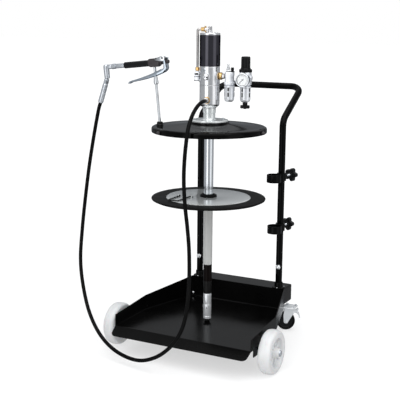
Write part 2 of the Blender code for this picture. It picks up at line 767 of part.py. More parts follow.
# ---------------------------------------------------------------- air motor
def make_motor():
    sleeve("motor_cylinder", CYLINDER_R, BORE_R, CYLINDER_TOP, BODY_TOP + GAP, "black_paint",
           40, parent=MOTOR)
    top = CYLINDER_TOP + GAP
    profile = [(0.0045, top + 0.0110), (0.0070, top + 0.0110), (0.0070, top + 0.0068),
               (0.0335, top + 0.0068), (0.0348, top + 0.0050), (0.0348, top),
               (0.0045, top)]
    turned("motor_cap", profile, "aluminium", 40, ring=True, parent=MOTOR)
    profile = [(ROD_BORE, BODY_TOP), (MOTOR_R, BODY_TOP), (MOTOR_R, BODY_SPLIT + GAP),
               (ROD_BORE, BODY_SPLIT + GAP)]
    turned("valve_body", profile, "aluminium", 40, ring=True, parent=MOTOR)
    bottom = 0.8916 + GAP
    profile = [(ROD_BORE, BODY_SPLIT), (MOTOR_R, BODY_SPLIT), (MOTOR_R, MOTOR_BOTTOM + 0.006),
               (MOTOR_R - 0.004, MOTOR_BOTTOM), (0.0250, bottom), (ROD_BORE, bottom)]
    turned("outlet_body", profile, "aluminium", 40, ring=True, parent=MOTOR)
    profile = [(0, PISTON_Z + 0.014), (0.0300, PISTON_Z + 0.014), (BORE_R - GAP, PISTON_Z + 0.012),
               (BORE_R - GAP, PISTON_Z), (0, PISTON_Z)]
    turned("air_piston", profile, "aluminium", 40, parent=MOTOR)


def make_transfer_line():
    """The pipe that carries air from the valve block up to the top of the cylinder."""
    reach = 0.0450
    top = 1.1640
    elbow = rod("top_elbow", 0.0072, CYLINDER_TOP + 0.026, CYLINDER_TOP + 0.0120,
                "steel", COARSE, parent=MOTOR)
    arm = rod("arm", 0.0062, 0.0200, -0.004, None, COARSE, parent=MOTOR,
              location=(0, 0, top), rotation=(0, -math.pi / 2, 0))
    nut = rod("nut", 0.0072, 0.0330, 0.0190, None, 6, parent=MOTOR,
              location=(0, 0, top), rotation=(0, -math.pi / 2, 0))
    weld(elbow, arm, nut)
    foot = INLET_Z + 0.0165
    corners = [(-0.0334, 0, top), (-reach, 0, top), (-reach, 0, foot)]
    route = rounded_path(corners, 0.0100, 5)
    tube("transfer_pipe", route, 0.0043, "steel", 3, parent=MOTOR)
    base = block("transfer_block", (0.0175, 0.020, 0.0310), (-reach - 0.0005, 0, 1.0005),
                 "steel", 0.0012, parent=MOTOR)
    return base


def make_muffler():
    face = MOTOR_R + GAP
    profile = [(0, face + 0.0225), (0.0090, face + 0.0225), (0.0110, face + 0.0205),
               (0.0120, face + 0.0120), (0.0120, face + 0.0060), (0.0085, face + 0.0050),
               (0.0085, face), (0, face)]
    turned("muffler", profile, "aluminium", 20, parent=MOTOR, location=(0, 0, INLET_Z - 0.001),
           rotation=ALONG_FRONT)
    profile = [(0.0030, face + 0.0270), (0.0085, face + 0.0270), (0.0100, face + 0.0255),
               (0.0100, face + 0.0090), (0.0120, face + 0.0080), (0.0120, face),
               (0.0030, face)]
    turned("outlet_fitting", profile, "brass", COARSE, ring=True, parent=MOTOR,
           location=(0, 0, OUTLET_Z), rotation=ALONG_FRONT)


OUTLET_Z = 0.9208


def make_air_line():
    face = MOTOR_R + GAP
    body_half = 0.0170
    start = LUBE_X - body_half
    profile = [(0.0050, start - GAP), (0.0085, start - GAP), (0.0085, start - 0.009),
               (0.0132, start - 0.0095), (0.0132, face), (0.0050, face)]
    turned("inlet_nut", profile, "brass", 12, ring=True, parent=MOTOR,
           location=(0, 0, INLET_Z), rotation=ALONG_X)
    height = LINE_BODY_TOP - LINE_BODY_BOTTOM
    middle = (LINE_BODY_TOP + LINE_BODY_BOTTOM) / 2
    block("lubricator_body", (2 * body_half, 0.038, height), (LUBE_X, 0, middle),
          "aluminium", 0.0045, parent=MOTOR)
    make_bowl("lubricator_bowl", LUBE_X, 0.0180, BOWL_BOTTOM)
    profile = [(0, LINE_BODY_TOP + 0.028), (0.0035, LINE_BODY_TOP + 0.0275),
               (0.0058, LINE_BODY_TOP + 0.024), (0.0060, LINE_BODY_TOP + 0.008),
               (0.0080, LINE_BODY_TOP + 0.007), (0.0080, LINE_BODY_TOP + GAP),
               (0, LINE_BODY_TOP + GAP)]
    turned("oil_adjuster", profile, "white_dial", COARSE, parent=MOTOR,
           location=(LUBE_X - 0.005, 0, 0))

    body = block("regulator_body", (0.040, 0.042, height), (REG_X, 0, middle), "aluminium",
                 0.0045, parent=MOTOR)
    inner = LUBE_X + body_half + GAP
    neck = rod("neck", 0.0100, REG_X, inner, None, COARSE, parent=MOTOR,
               location=(0, 0, INLET_Z - 0.005), rotation=ALONG_X)
    port = rod("port", 0.0105, PORT_X, REG_X, None, 24, parent=MOTOR,
               location=(0, 0, INLET_Z - 0.005), rotation=ALONG_X)
    weld(body, neck, port)
    cut(body, rod("thread", 0.0058, PORT_X + 0.01, PORT_X - 0.012, None, COARSE, parent=MOTOR,
                  location=(0, 0, INLET_Z - 0.005), rotation=ALONG_X))
    make_bowl("filter_bowl", REG_X, 0.0190, BOWL_BOTTOM)
    low = LINE_BODY_TOP + GAP
    sleeve("bonnet", 0.0230, 0.0080, low + 0.0150, low, "black_plastic", 24, parent=MOTOR,
           location=(REG_X, 0, 0))
    start = low + 0.0150 + GAP
    profile = [(0, start + 0.0390), (0.0140, start + 0.0390), (0.0152, start + 0.0370),
               (0.0152, start + 0.0010), (0.0140, start), (0, start)]
    turned("pressure_knob", profile, "black_plastic", 24, parent=MOTOR,
           location=(REG_X, 0, 0))
    make_drain()
    make_gauge()


def make_bowl(name, x, radius, bottom):
    top = LINE_BODY_BOTTOM - GAP
    profile = [(0, top), (radius, top), (radius, bottom + 0.0120)]
    for step in range(1, 4):
        angle = math.pi / 2 * step / 4
        reach = radius - 0.0120 + 0.0120 * math.cos(angle)
        profile.append((reach, bottom + 0.0120 - 0.0120 * math.sin(angle)))
    profile += [(radius - 0.0120, bottom), (0, bottom)]
    turned(name, profile, "aluminium", 28, parent=MOTOR, location=(x, 0, 0))


def make_drain():
    top = BOWL_BOTTOM - GAP
    profile = [(0, top), (0.0070, top), (0.0070, top - 0.0120), (0.0050, top - 0.0225),
               (0, top - 0.0225)]
    cock = turned("drain_cock", profile, "black_plastic", COARSE, parent=MOTOR,
                  location=(REG_X, 0, 0))
    wing = block("wing", (0.0330, 0.0080, 0.0110), (0, 0, top - 0.0150), None, parent=MOTOR,
                 location=(REG_X, 0, 0))
    weld(cock, wing)


def make_gauge():
    face = 0.0210 + GAP
    profile = [(0.0050, face), (0.0050, face + 0.0060), (GAUGE_R - 0.002, face + 0.0080),
               (GAUGE_R, face + 0.0100), (GAUGE_R, GAUGE_FRONT - 0.001),
               (GAUGE_R - 0.001, GAUGE_FRONT), (GAUGE_R - 0.0035, GAUGE_FRONT),
               (GAUGE_R - 0.0035, GAUGE_FRONT - 0.0060), (0.0016, GAUGE_FRONT - 0.0060),
               (0.0016, face)]
    turned("gauge_case", list(reversed(profile)), "steel", 24, ring=True, parent=MOTOR,
           location=(REG_X, 0, GAUGE_Z), rotation=ALONG_FRONT)
    outline = [(-0.0009, -0.0060), (0.0009, -0.0060), (0.0006, 0.0160), (-0.0006, 0.0160)]
    turn = math.radians(NEEDLE_REST)
    turned_outline = [(x * math.cos(turn) - y * math.sin(turn),
                       x * math.sin(turn) + y * math.cos(turn)) for x, y in outline]
    needle = as_mesh(sheet_outline("gauge_needle", [turned_outline], 0.0010, None,
                                   parent=MOTOR, location=(REG_X, -GAUGE_FRONT + 0.0042, GAUGE_Z),
                                   rotation=ALONG_FRONT))
    needle.data.materials.append(MATERIALS["black_plastic"])
    hub = turned("hub", [(0, 0.0009), (0.0022, 0.0009), (0.0022, -0.0005), (0.0011, -0.0005),
                         (0.0011, -0.0100), (0, -0.0100)], None, 12, parent=MOTOR,
                 location=(REG_X, -GAUGE_FRONT + 0.0042, GAUGE_Z), rotation=ALONG_FRONT)
    weld(needle, hub)


NEEDLE_REST = 135.0         # the needle rests at the lower left of the dial


# ---------------------------------------------------------------- control gun
def make_gun():
    head_left = -0.0210
    head_right = 0.0250
    sleeve("gun_grip", GRIP_R, 0.0040, head_left - GAP, -0.1220, "black_plastic", 24,
           parent=GUN, rotation=ALONG_X)
    head = block("gun_head", (head_right - head_left, 0.0250, 0.0300),
                 ((head_left + head_right) / 2, 0, 0), "black_paint", 0.0035, parent=GUN)
    cap = turned("cap", [(0, 0.0600), (0.0075, 0.0600), (0.0085, 0.0585), (0.0085, 0.0470),
                         (0.0060, 0.0460), (0.0060, 0.0300), (0.0095, 0.0290),
                         (0.0095, 0.0200), (0, 0.0200)], None, COARSE, parent=GUN,
                 rotation=ALONG_X)
    weld(head, cap)
    make_lever_bracket()
    make_lever()
    low = -0.0150 - GAP
    profile = [(0, low), (0.0050, low), (0.0050, -0.0460), (0.0060, -0.0470),
               (0.0087, -0.0690), (0.0080, -0.0740), (0.0047, -0.0755),
               (0.0047, -NOZZLE_END + 0.002), (0.0035, -NOZZLE_END), (0, -NOZZLE_END)]
    turned("gun_nozzle", profile, "chrome", COARSE, parent=GUN)
    make_swivel()


def make_lever_bracket():
    outline = [(0.0120, 0.0155), (0.0190, 0.0175), (0.0350, 0.0220), (0.0460, 0.0215),
               (0.0500, 0.0160), (0.0490, 0.0100), (0.0420, 0.0065), (0.0280, 0.0110),
               (0.0200, 0.0105), (0.0120, 0.0105)]
    bracket = as_mesh(sheet_outline("lever_bracket", [outline], 0.0320, None, parent=GUN,
                                    rotation=(math.pi / 2, 0, 0)))
    bracket.data.materials.append(MATERIALS["chrome"])
    inside = block("inside", (0.060, 0.0264, 0.0380), (0.0320, 0, 0.0005), None, parent=GUN)
    pin = rod("pin", 0.0024, 0.0150, -0.0150, None, 12, parent=GUN,
              location=(PIVOT[0], 0, PIVOT[1]), rotation=(math.pi / 2, 0, 0))
    cut(bracket, inside)
    weld(bracket, pin)


def make_lever():
    """A pressed channel: two cheeks from the pivot, and a web under the fingers."""
    outline = [(0.0375, 0.0150), (0.0417, 0.0185), (0.0460, 0.0150), (0.0500, -0.0250),
               (0.0470, -0.0300), (0.0000, -0.0440), (-0.0600, -0.0585),
               (-0.1000, -0.0655), (-0.1120, -0.0700), (-0.1105, -0.0655),
               (-0.0980, -0.0600), (-0.0600, -0.0520), (0.0000, -0.0330), (0.0400, -0.0205)]
    lever = as_mesh(sheet_outline("gun_lever", [outline], 0.0250, None, parent=GUN,
                                  rotation=(math.pi / 2, 0, 0)))
    lever.data.materials.append(MATERIALS["chrome"])
    hollow = [(0.0300, 0.0250), (0.0600, 0.0250), (0.0600, -0.0500), (-0.0200, -0.0600),
              (-0.0200, -0.0465), (-0.0600, -0.0560), (-0.1000, -0.0632), (-0.1300, -0.0660),
              (-0.1300, -0.0300), (0.0300, -0.0100)]
    inside = as_mesh(sheet_outline("inside", [hollow], 0.0222, None, parent=GUN,
                                   rotation=(math.pi / 2, 0, 0)))
    bore = rod("bore", 0.0028, 0.02, -0.02, None, 12, parent=GUN,
               location=(PIVOT[0], 0, PIVOT[1]), rotation=(math.pi / 2, 0, 0))
    cut(lever, inside, bore)
    lever.data.transform(Matrix.Translation((-PIVOT[0], -PIVOT[1], 0)))
    lever.location = (PIVOT[0], 0, PIVOT[1])


def make_swivel():
    """The fixed half of the hose swivel, and the ferrule that turns below it."""
    start = -0.1220 - GAP
    body = turned("swivel_elbow", [(0, start), (0.0078, start), (0.0087, start - 0.002),
                                   (0.0087, -0.1600), (0.0098, -0.1615), (0.0098, -0.1790),
                                   (0.0080, -0.1800), (0.0080, -0.2050), (0, -0.2050)],
                  "chrome", COARSE, parent=GUN, rotation=ALONG_X)
    knuckle = turned("knuckle", [(0, 0.0090), (0.0085, 0.0090), (0.0098, 0.0070),
                                 (0.0102, -0.0100), (0.0102, -0.0360), (0.0085, -0.0385),
                                 (0, -0.0385)], None, COARSE, parent=GUN,
                     location=(-0.2030, 0, 0))
    weld(body, knuckle)
    x, z = FERRULE_TOP
    profile = [(0, 0), (0.0070, 0), (0.0080, -0.0020), (0.0085, -0.0030), (0.0085, -0.0150),
               (0.0070, -0.0160), (0.0070, -0.0180), (0.0087, -0.0200),
               (0.0087, -FERRULE_LENGTH + 0.003), (0.0080, -FERRULE_LENGTH),
               (0, -FERRULE_LENGTH)]
    turned("hose_ferrule", profile, "steel", COARSE, parent=GUN, location=(x, 0, z),
           rotation=(0, FERRULE_ANGLE, 0))


# ---------------------------------------------------------------- hose
def hose_ends():
    """Where the hose leaves the pump's outlet and where it enters the ferrule."""
    bpy.context.view_layer.update()
    reach = MOTOR_R + GAP + 0.0270 + GAP
    start = Matrix.Rotation(MOTOR_TURN, 3, "Z") @ Vector((0, -reach, 0))
    start.z = OUTLET_Z
    leave = Matrix.Rotation(MOTOR_TURN, 3, "Z") @ Vector((0, -1, 0))
    frame = Matrix.Rotation(-GUN_TILT, 3, "Y")
    down = frame @ Matrix.Rotation(FERRULE_ANGLE, 3, "Y") @ Vector((0, 0, -1))
    top = frame @ Vector((FERRULE_TOP[0], 0, FERRULE_TOP[1]))
    end = Vector(GUN_ORIGIN) + top + down * (FERRULE_LENGTH + GAP)
    return start, leave, end, down


def make_hose():
    start, leave, end, down = hose_ends()
    middle = [
        (0.021, -0.126, 0.911), (0.026, -0.162, 0.896), (0.031, -0.196, 0.874),
        (0.034, -0.222, 0.842), (0.034, -0.235, 0.800), (0.029, -0.237, 0.740),
        (0.025, -0.234, 0.670), (0.029, -0.233, 0.589), (0.040, -0.235, 0.510),
        (0.051, -0.242, 0.430), (0.061, -0.259, 0.330), (0.066, -0.282, 0.245),
        (0.058, -0.304, 0.173), (0.024, -0.317, 0.112), (-0.038, -0.318, 0.060),
        (-0.120, -0.306, 0.031), (-0.220, -0.282, 0.038), (-0.306, -0.252, 0.075),
        (-0.374, -0.220, 0.141), (-0.423, -0.187, 0.230), (-0.452, -0.158, 0.320),
        (-0.461, -0.130, 0.429), (-0.459, -0.109, 0.545), (-0.452, -0.090, 0.665),
        (-0.438, -0.076, 0.780),
    ]
    knots = [start, start + leave * 0.030] + middle + [end + down * 0.030, end]
    route = smooth_route(knots, HOSE_SPACING)
    tube("hose", route, HOSE_R, "black_rubber", 2)


# ---------------------------------------------------------------- whole object
def centre_on_box():
    """Move the whole object so that the origin is the bottom centre of its box."""
    bpy.context.view_layer.update()
    depsgraph = bpy.context.evaluated_depsgraph_get()
    low = Vector((math.inf, math.inf, math.inf))
    high = -low
    for thing in PARTS.objects:
        if thing.type == "EMPTY" or thing.name == "hose":
            continue
        solid = thing.evaluated_get(depsgraph)
        mesh = solid.to_mesh()
        for vert in mesh.vertices:
            point = solid.matrix_world @ vert.co
            low = Vector(map(min, low, point))
            high = Vector(map(max, high, point))
        solid.to_mesh_clear()
    ROOT.location = (-(low.x + high.x) / 2, -(low.y + high.y) / 2, -low.z)


def main():
    make_tray()
    make_handle()
    make_front_wheels()
    make_axle()
    make_casters()
    make_clamps()
    make_column()
    make_cover()
    make_gun_holder()
    make_follower()
    make_motor()
    make_transfer_line()
    make_muffler()
    make_air_line()
    make_gun()
    make_hose()
    centre_on_box()


main()
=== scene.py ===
"""Looks of the grease pump set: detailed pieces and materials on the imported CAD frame."""
import math

import bmesh
import bpy
from mathutils import Matrix, Vector


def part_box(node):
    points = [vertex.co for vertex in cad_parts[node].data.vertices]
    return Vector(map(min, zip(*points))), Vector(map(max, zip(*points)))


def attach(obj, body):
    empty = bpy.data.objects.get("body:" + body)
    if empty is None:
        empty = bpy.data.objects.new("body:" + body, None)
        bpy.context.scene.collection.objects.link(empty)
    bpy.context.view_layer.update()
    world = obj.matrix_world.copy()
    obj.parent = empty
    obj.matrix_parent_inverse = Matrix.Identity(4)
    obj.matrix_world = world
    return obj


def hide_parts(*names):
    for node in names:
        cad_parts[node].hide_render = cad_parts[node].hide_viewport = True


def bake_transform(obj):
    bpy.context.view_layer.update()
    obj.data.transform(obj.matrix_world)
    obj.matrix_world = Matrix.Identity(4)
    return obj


# Shapes are drawn in millimetres and finish_mesh() brings them to metres.
MM = 0.001

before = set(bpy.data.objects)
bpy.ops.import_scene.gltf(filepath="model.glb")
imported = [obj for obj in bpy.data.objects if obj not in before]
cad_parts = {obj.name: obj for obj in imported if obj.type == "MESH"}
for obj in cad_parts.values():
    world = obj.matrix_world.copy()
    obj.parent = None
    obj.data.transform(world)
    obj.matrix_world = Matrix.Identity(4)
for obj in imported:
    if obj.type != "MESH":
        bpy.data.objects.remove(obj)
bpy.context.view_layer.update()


# ---------------------------------------------------------------- frames
tube_low, tube_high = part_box("suction_tube")
AX = (tube_low.x + tube_high.x) / 2
AY = (tube_low.y + tube_high.y) / 2
AXIS = Matrix.Translation((AX, AY, 0))


def at(x=0.0, y=0.0, z=0.0):
    """A move, in millimetres."""
    return Matrix.Translation((x * MM, y * MM, z * MM))


def spin(degrees, axis="Z"):
    return Matrix.Rotation(math.radians(degrees), 4, axis)


def span(node_name):
    """The low and high corner of a CAD node, in millimetres."""
    low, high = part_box(node_name)
    return (low / MM, high / MM)


MOTOR_TURN = 12.0
GUN_PLACE = (-184, -70, 1046.5)
GUN_TILT = -6.1

HERE = Matrix.Identity(4)
MOTOR = AXIS @ spin(MOTOR_TURN)
GUN = AXIS @ at(*GUN_PLACE) @ spin(GUN_TILT, "Y")
ALONG_X = spin(90, "Y")
ALONG_LEFT = spin(-90, "Y")
ALONG_FRONT = spin(90, "X")
ALONG_BACK = spin(-90, "X")


# ---------------------------------------------------------------- camera
CAMERA_LENS = 80.77
CAMERA_PLACE = (1.42853, -2.8338, 1.2)
CAMERA_RIGHT = (0.887761, 0.460219, 0.008882)
CAMERA_UP = (-0.098872, 0.171806, 0.980157)
CAMERA_BACK = (0.449561, -0.871023, 0.198025)


def add_object(name, data):
    thing = bpy.data.objects.new(name, data)
    bpy.context.scene.collection.objects.link(thing)
    return thing


def make_camera():
    data = bpy.data.cameras.new("camera")
    data.sensor_width = 36.0
    data.lens = CAMERA_LENS
    data.clip_start = 0.05
    camera = add_object("camera", data)
    turn = Matrix((CAMERA_RIGHT, CAMERA_UP, CAMERA_BACK)).transposed().to_4x4()
    camera.matrix_world = AXIS @ Matrix.Translation(CAMERA_PLACE) @ turn
    bpy.context.scene.camera = camera


make_camera()


# ---------------------------------------------------------------- mesh tools
SHARP = 35.0
JOINED = 4e-06


def finish_mesh(shape, angle=SHARP):
    """Scale a drawn shape to metres, join its seams and shade it."""
    bmesh.ops.scale(shape, vec=(MM, MM, MM), verts=shape.verts)
    bmesh.ops.remove_doubles(shape, verts=shape.verts, dist=JOINED)
    bmesh.ops.recalc_face_normals(shape, faces=shape.faces)
    mesh = bpy.data.meshes.new("shape")
    shape.to_mesh(mesh)
    shape.free()
    mesh.shade_smooth()
    mesh.set_sharp_from_angle(angle=math.radians(angle))
    return mesh


def fillet(points, radius, steps=3, loop=False):
    """Round the corners of a flat polyline of (r, z) points."""
    if radius <= 0:
        return list(points)
    count = len(points)
    out = []
    for index in range(count):
        here = Vector(points[index])
        if not loop and index in (0, count - 1):
            out.append(tuple(here))
            continue
        before = Vector(points[index - 1])
        after = Vector(points[(index + 1) % count])
        back = before - here
        ahead = after - here
        if back.length < 1e-07 or ahead.length < 1e-07:
            out.append(tuple(here))
            continue
        angle = back.angle(ahead, math.pi)
        if angle > math.radians(168):
            out.append(tuple(here))
            continue
        reach = min(radius / math.tan(angle / 2), back.length * 0.45, ahead.length * 0.45)
        start = here + back.normalized() * reach
        end = here + ahead.normalized() * reach
        for step in range(steps + 1):
            t = step / steps
            out.append(tuple(start.lerp(here, t).lerp(here.lerp(end, t), t)))
    return out


def lathe(profile, sides=64, soft=0.6, loop=None, angle=SHARP, wave=None):
    """A turned mesh.

    A profile off the axis at both ends is closed to a ring, unless loop says otherwise.
    wave(angle, radius, z) may change the radius round the piece.
    """
    if loop is None:
        loop = profile[0][0] > 0 and profile[-1][0] > 0
    points = fillet(profile, soft, loop=loop)
    shape = bmesh.new()
    rings = []
    for radius, z in points:
        if radius < 1e-06:
            rings.append([shape.verts.new((0, 0, z))])
            continue
        ring = []
        for side in range(sides):
            turn = math.tau * side / sides
            reach = wave(turn, radius, z) if wave else radius
            ring.append(shape.verts.new((reach * math.cos(turn), reach * math.sin(turn), z)))
        rings.append(ring)
    pairs = list(zip(rings, rings[1:]))
    if loop:
        pairs.append((rings[-1], rings[0]))
    for first, second in pairs:
        for side in range(sides):
            after = (side + 1) % sides
            corners = [first[side % len(first)], first[after % len(first)],
                second[after % len(second)], second[side % len(second)]]
            unique = list(dict.fromkeys(corners))
            if len(unique) > 2:
                shape.faces.new(unique)
    return finish_mesh(shape, angle)


def hexagon(across, top, bottom, bore=0.0, chamfer=0.9):
    """A chamfered hexagon bar from bottom to top; across is the size over the flats."""
    radius = across / 2 / math.cos(math.pi / 6)
    profile = [(bore, top), (radius - chamfer * 1.6, top), (radius, top - chamfer),
        (radius, bottom + chamfer), (radius - chamfer * 1.6, bottom), (bore, bottom)]
    return lathe(profile, 6, 0, angle=20)


def prism(outline, depth, bevel=0.8, holes=(), segments=2):
    """A plate in x and y, depth thick about z = 0, with softened edges."""
    curve = bpy.data.curves.new("outline", "CURVE")
    curve.dimensions = "2D"
    curve.fill_mode = "BOTH"
    curve.extrude = depth / 2 - bevel
    curve.bevel_depth = bevel
    curve.offset = -bevel
    curve.bevel_resolution = segments
    for points in [outline, *holes]:
        line = curve.splines.new("POLY")
        line.points.add(len(points) - 1)
        for knot, point in zip(line.points, points):
            knot.co = (point[0], point[1], 0.0, 1.0)
        line.use_cyclic_u = True
    return baked_curve(curve)


def baked_curve(curve):
    """The mesh that a filled curve makes."""
    holder = add_object("outline", curve)
    bpy.context.view_layer.update()
    depsgraph = bpy.context.evaluated_depsgraph_get()
    mesh = bpy.data.meshes.new_from_object(holder.evaluated_get(depsgraph))
    bpy.data.objects.remove(holder, do_unlink=True)
    bpy.data.curves.remove(curve)
    shape = bmesh.new()
    shape.from_mesh(mesh)
    bpy.data.meshes.remove(mesh)
    return finish_mesh(shape, 32)


def sweep(points, radius, sides=20):
    """A round tube along a polyline, its section carried without twist."""
    points = [Vector(p) for p in points]
    shape = bmesh.new()
    tangents = []
    for index in range(len(points)):
        before = points[max(0, index - 1)]
        after = points[min(len(points) - 1, index + 1)]
        tangents.append((after - before).normalized())
    normal = tangents[0].orthogonal().normalized()
    rings = []
    for point, tangent in zip(points, tangents):
        normal = (normal - tangent * normal.dot(tangent)).normalized()
        across = tangent.cross(normal)
        ring = []
        for side in range(sides):
            turn = math.tau * side / sides
            offset = normal * math.cos(turn) + across * math.sin(turn)
            ring.append(shape.verts.new(point + offset * radius))
        rings.append(ring)
    for first, second in zip(rings, rings[1:]):
        for side in range(sides):
            after = (side + 1) % sides
            shape.faces.new((first[side], first[after], second[after], second[side]))
    shape.faces.new(list(reversed(rings[0])))
    shape.faces.new(rings[-1])
    return finish_mesh(shape, 40)


def box_mesh(size, bevel=1.0, segments=2):
    shape = bmesh.new()
    bmesh.ops.create_cube(shape, size=1.0, matrix=Matrix.Diagonal((*size, 1.0)))
    if bevel:
        bmesh.ops.bevel(shape, geom=list(shape.edges), offset=bevel, segments=segments,
            profile=0.5, affect="EDGES")
    return finish_mesh(shape, 30)


def gather(parts, angle=SHARP):
    """One mesh out of (mesh, matrix) pairs."""
    shape = bmesh.new()
    for mesh, matrix in parts:
        piece = bmesh.new()
        piece.from_mesh(mesh)
        piece.transform(matrix)
        copy = bpy.data.meshes.new("copy")
        piece.to_mesh(copy)
        piece.free()
        shape.from_mesh(copy)
        bpy.data.meshes.remove(copy)
    mesh = bpy.data.meshes.new("shape")
    shape.to_mesh(mesh)
    shape.free()
    mesh.shade_smooth()
    mesh.set_sharp_from_angle(angle=math.radians(angle))
    return mesh


def ribs(depth, count, inner, low=-math.inf, high=math.inf):
    """A wave of ribs for lathe(), outside radius inner and between two heights."""
    def wave(turn, radius, z):
        if radius > inner and low < z < high:
            return radius - depth * (0.5 - 0.5 * math.cos(count * turn))
        return radius
    return wave


def rounded_box(wide, tall, radius, steps):
    """A rectangle round the origin with round corners."""
    x, y = (wide / 2, tall / 2)
    return fillet([(-x, -y), (x, -y), (x, y), (-x, y)], radius, steps, loop=True)


def above(base, points):
    """Profile points (r, height), their heights counted from base."""
    return [(radius, base + height) for radius, height in points]


def arc(centre, radius, start, end, steps):
    points = []
    for step in range(steps + 1):
        angle = math.radians(start + (end - start) * step / steps)
        points.append((centre[0] + radius * math.cos(angle), centre[1] + radius * math.sin(angle)))
    return points


def circle(centre, radius, sides=48):
    return arc(centre, radius, 0, 360 - 360 / sides, sides - 1)


def rounded_path(corners, radius, steps=10):
    corners = [Vector(c) for c in corners]
    points = [corners[0]]
    for before, here, after in zip(corners, corners[1:], corners[2:]):
        back = (before - here).normalized()
        ahead = (after - here).normalized()
        half = back.angle(ahead) / 2
        reach = min(radius / math.tan(half), (before - here).length * 0.48,
            (after - here).length * 0.48)
        turn_radius = reach * math.tan(half)
        start = here + back * reach
        end = here + ahead * reach
        centre = here + (back + ahead).normalized() * (turn_radius / math.sin(half))
        sweep_angle = math.pi - 2 * half
        for step in range(steps + 1):
            angle = sweep_angle * step / steps
            mixed = (start - centre) * math.sin(sweep_angle - angle)
            mixed += (end - centre) * math.sin(angle)
            points.append(centre + mixed / math.sin(sweep_angle))
    points.append(corners[-1])
    return points


def smooth_route(knots, spacing):
    knots = [Vector(knot) for knot in knots]
    ends = [2 * knots[0] - knots[1]] + knots + [2 * knots[-1] - knots[-2]]
    fine = []
    for p0, p1, p2, p3 in zip(ends, ends[1:], ends[2:], ends[3:]):
        for step in range(24):
            t = step / 24
            b = (p2 - p0) * t
            c = (2 * p0 - 5 * p1 + 4 * p2 - p3) * t ** 2
            d = (3 * p1 - p0 - 3 * p2 + p3) * t ** 3
            fine.append((2 * p1 + b + c + d) / 2)
    fine.append(knots[-1])
    lengths = [0.0]
    for first, second in zip(fine, fine[1:]):
        lengths.append(lengths[-1] + (second - first).length)
    count = max(2, round(lengths[-1] / spacing))
    route = []
    index = 0
    for step in range(count + 1):
        target = lengths[-1] * step / count
        while index < len(fine) - 2 and lengths[index + 1] < target:
            index += 1
        share = (target - lengths[index]) / (lengths[index + 1] - lengths[index])
        route.append(fine[index].lerp(fine[index + 1], min(1.0, share)))
    return (route, lengths[-1])


# ---------------------------------------------------------------- materials
def node(tree, kind, **settings):
    made = tree.nodes.new(kind)
    for key, value in settings.items():
        if key.startswith("in_"):
            made.inputs[key[3:].replace("_", " ")].default_value = value
        else:
            setattr(made, key, value)
    return made


def ramp(tree, source, low, high, from_low=0.35, from_high=0.65):
    made = node(tree, "ShaderNodeMapRange", clamp=True)
    made.inputs["From Min"].default_value = from_low
    made.inputs["From Max"].default_value = from_high
    made.inputs["To Min"].default_value = low
    made.inputs["To Max"].default_value = high
    tree.links.new(source, made.inputs["Value"])
    return made.outputs["Result"]


def surface(name, colour, second=None, metal=0.0, rough=(0.3, 0.4), cloud=18.0, grain=900.0,
        bump=0.05, grain_depth=0.0002, coat=0.0, coat_rough=0.05, streak=None, streak_scale=1500.0,
        specular=0.5, sub=0.0, wear=None, wear_amount=0.0, tint=1.0):
    """A layered finish: cloudy colour and gloss, fine grain, machined streaks, worn edges."""
    made = bpy.data.materials.new(name)
    made.use_nodes = True
    tree = made.node_tree
    shader = tree.nodes["Principled BSDF"]
    shader.inputs["Metallic"].default_value = metal
    shader.inputs["Specular IOR Level"].default_value = specular
    shader.inputs["Coat Weight"].default_value = coat
    shader.inputs["Coat Roughness"].default_value = coat_rough
    shader.inputs["Subsurface Weight"].default_value = sub
    shader.inputs["Subsurface Scale"].default_value = 0.01
    shader.inputs["Specular Tint"].default_value = (tint, tint, tint, 1.0)
    place = node(tree, "ShaderNodeTexCoord")
    wide = node(tree, "ShaderNodeTexNoise", in_Scale=cloud, in_Detail=5.0, in_Roughness=0.6)
    tree.links.new(place.outputs["Object"], wide.inputs["Vector"])
    fine = node(tree, "ShaderNodeTexNoise", in_Scale=grain, in_Detail=3.0, in_Roughness=0.55)
    if streak:
        stretch = node(tree, "ShaderNodeMapping")
        stretch.inputs["Scale"].default_value = streak
        tree.links.new(place.outputs["Object"], stretch.inputs["Vector"])
        tree.links.new(stretch.outputs["Vector"], fine.inputs["Vector"])
        fine.inputs["Scale"].default_value = streak_scale
    else:
        tree.links.new(place.outputs["Object"], fine.inputs["Vector"])
    mixed = node(tree, "ShaderNodeMix", data_type="RGBA")
    mixed.inputs["A"].default_value = (*colour, 1.0)
    mixed.inputs["B"].default_value = (*(second or [c * 0.82 for c in colour]), 1.0)
    tree.links.new(ramp(tree, wide.outputs["Fac"], 0.0, 1.0), mixed.inputs["Factor"])
    result = mixed.outputs["Result"]
    if wear:
        shape = node(tree, "ShaderNodeNewGeometry")
        edge = ramp(tree, shape.outputs["Pointiness"], 0.0, wear_amount, 0.52, 0.6)
        worn = node(tree, "ShaderNodeMix", data_type="RGBA")
        worn.inputs["B"].default_value = (*wear, 1.0)
        tree.links.new(result, worn.inputs["A"])
        tree.links.new(edge, worn.inputs["Factor"])
        result = worn.outputs["Result"]
    tree.links.new(result, shader.inputs["Base Color"])
    both = node(tree, "ShaderNodeMath", operation="MULTIPLY_ADD")
    tree.links.new(fine.outputs["Fac"], both.inputs[0])
    both.inputs[1].default_value = 0.35
    tree.links.new(wide.outputs["Fac"], both.inputs[2])
    gloss = ramp(tree, both.outputs["Value"], rough[0], rough[1], 0.45, 0.9)
    tree.links.new(gloss, shader.inputs["Roughness"])
    relief = node(tree, "ShaderNodeBump", in_Strength=bump, in_Distance=grain_depth)
    tree.links.new(fine.outputs["Fac"], relief.inputs["Height"])
    tree.links.new(relief.outputs["Normal"], shader.inputs["Normal"])
    return made


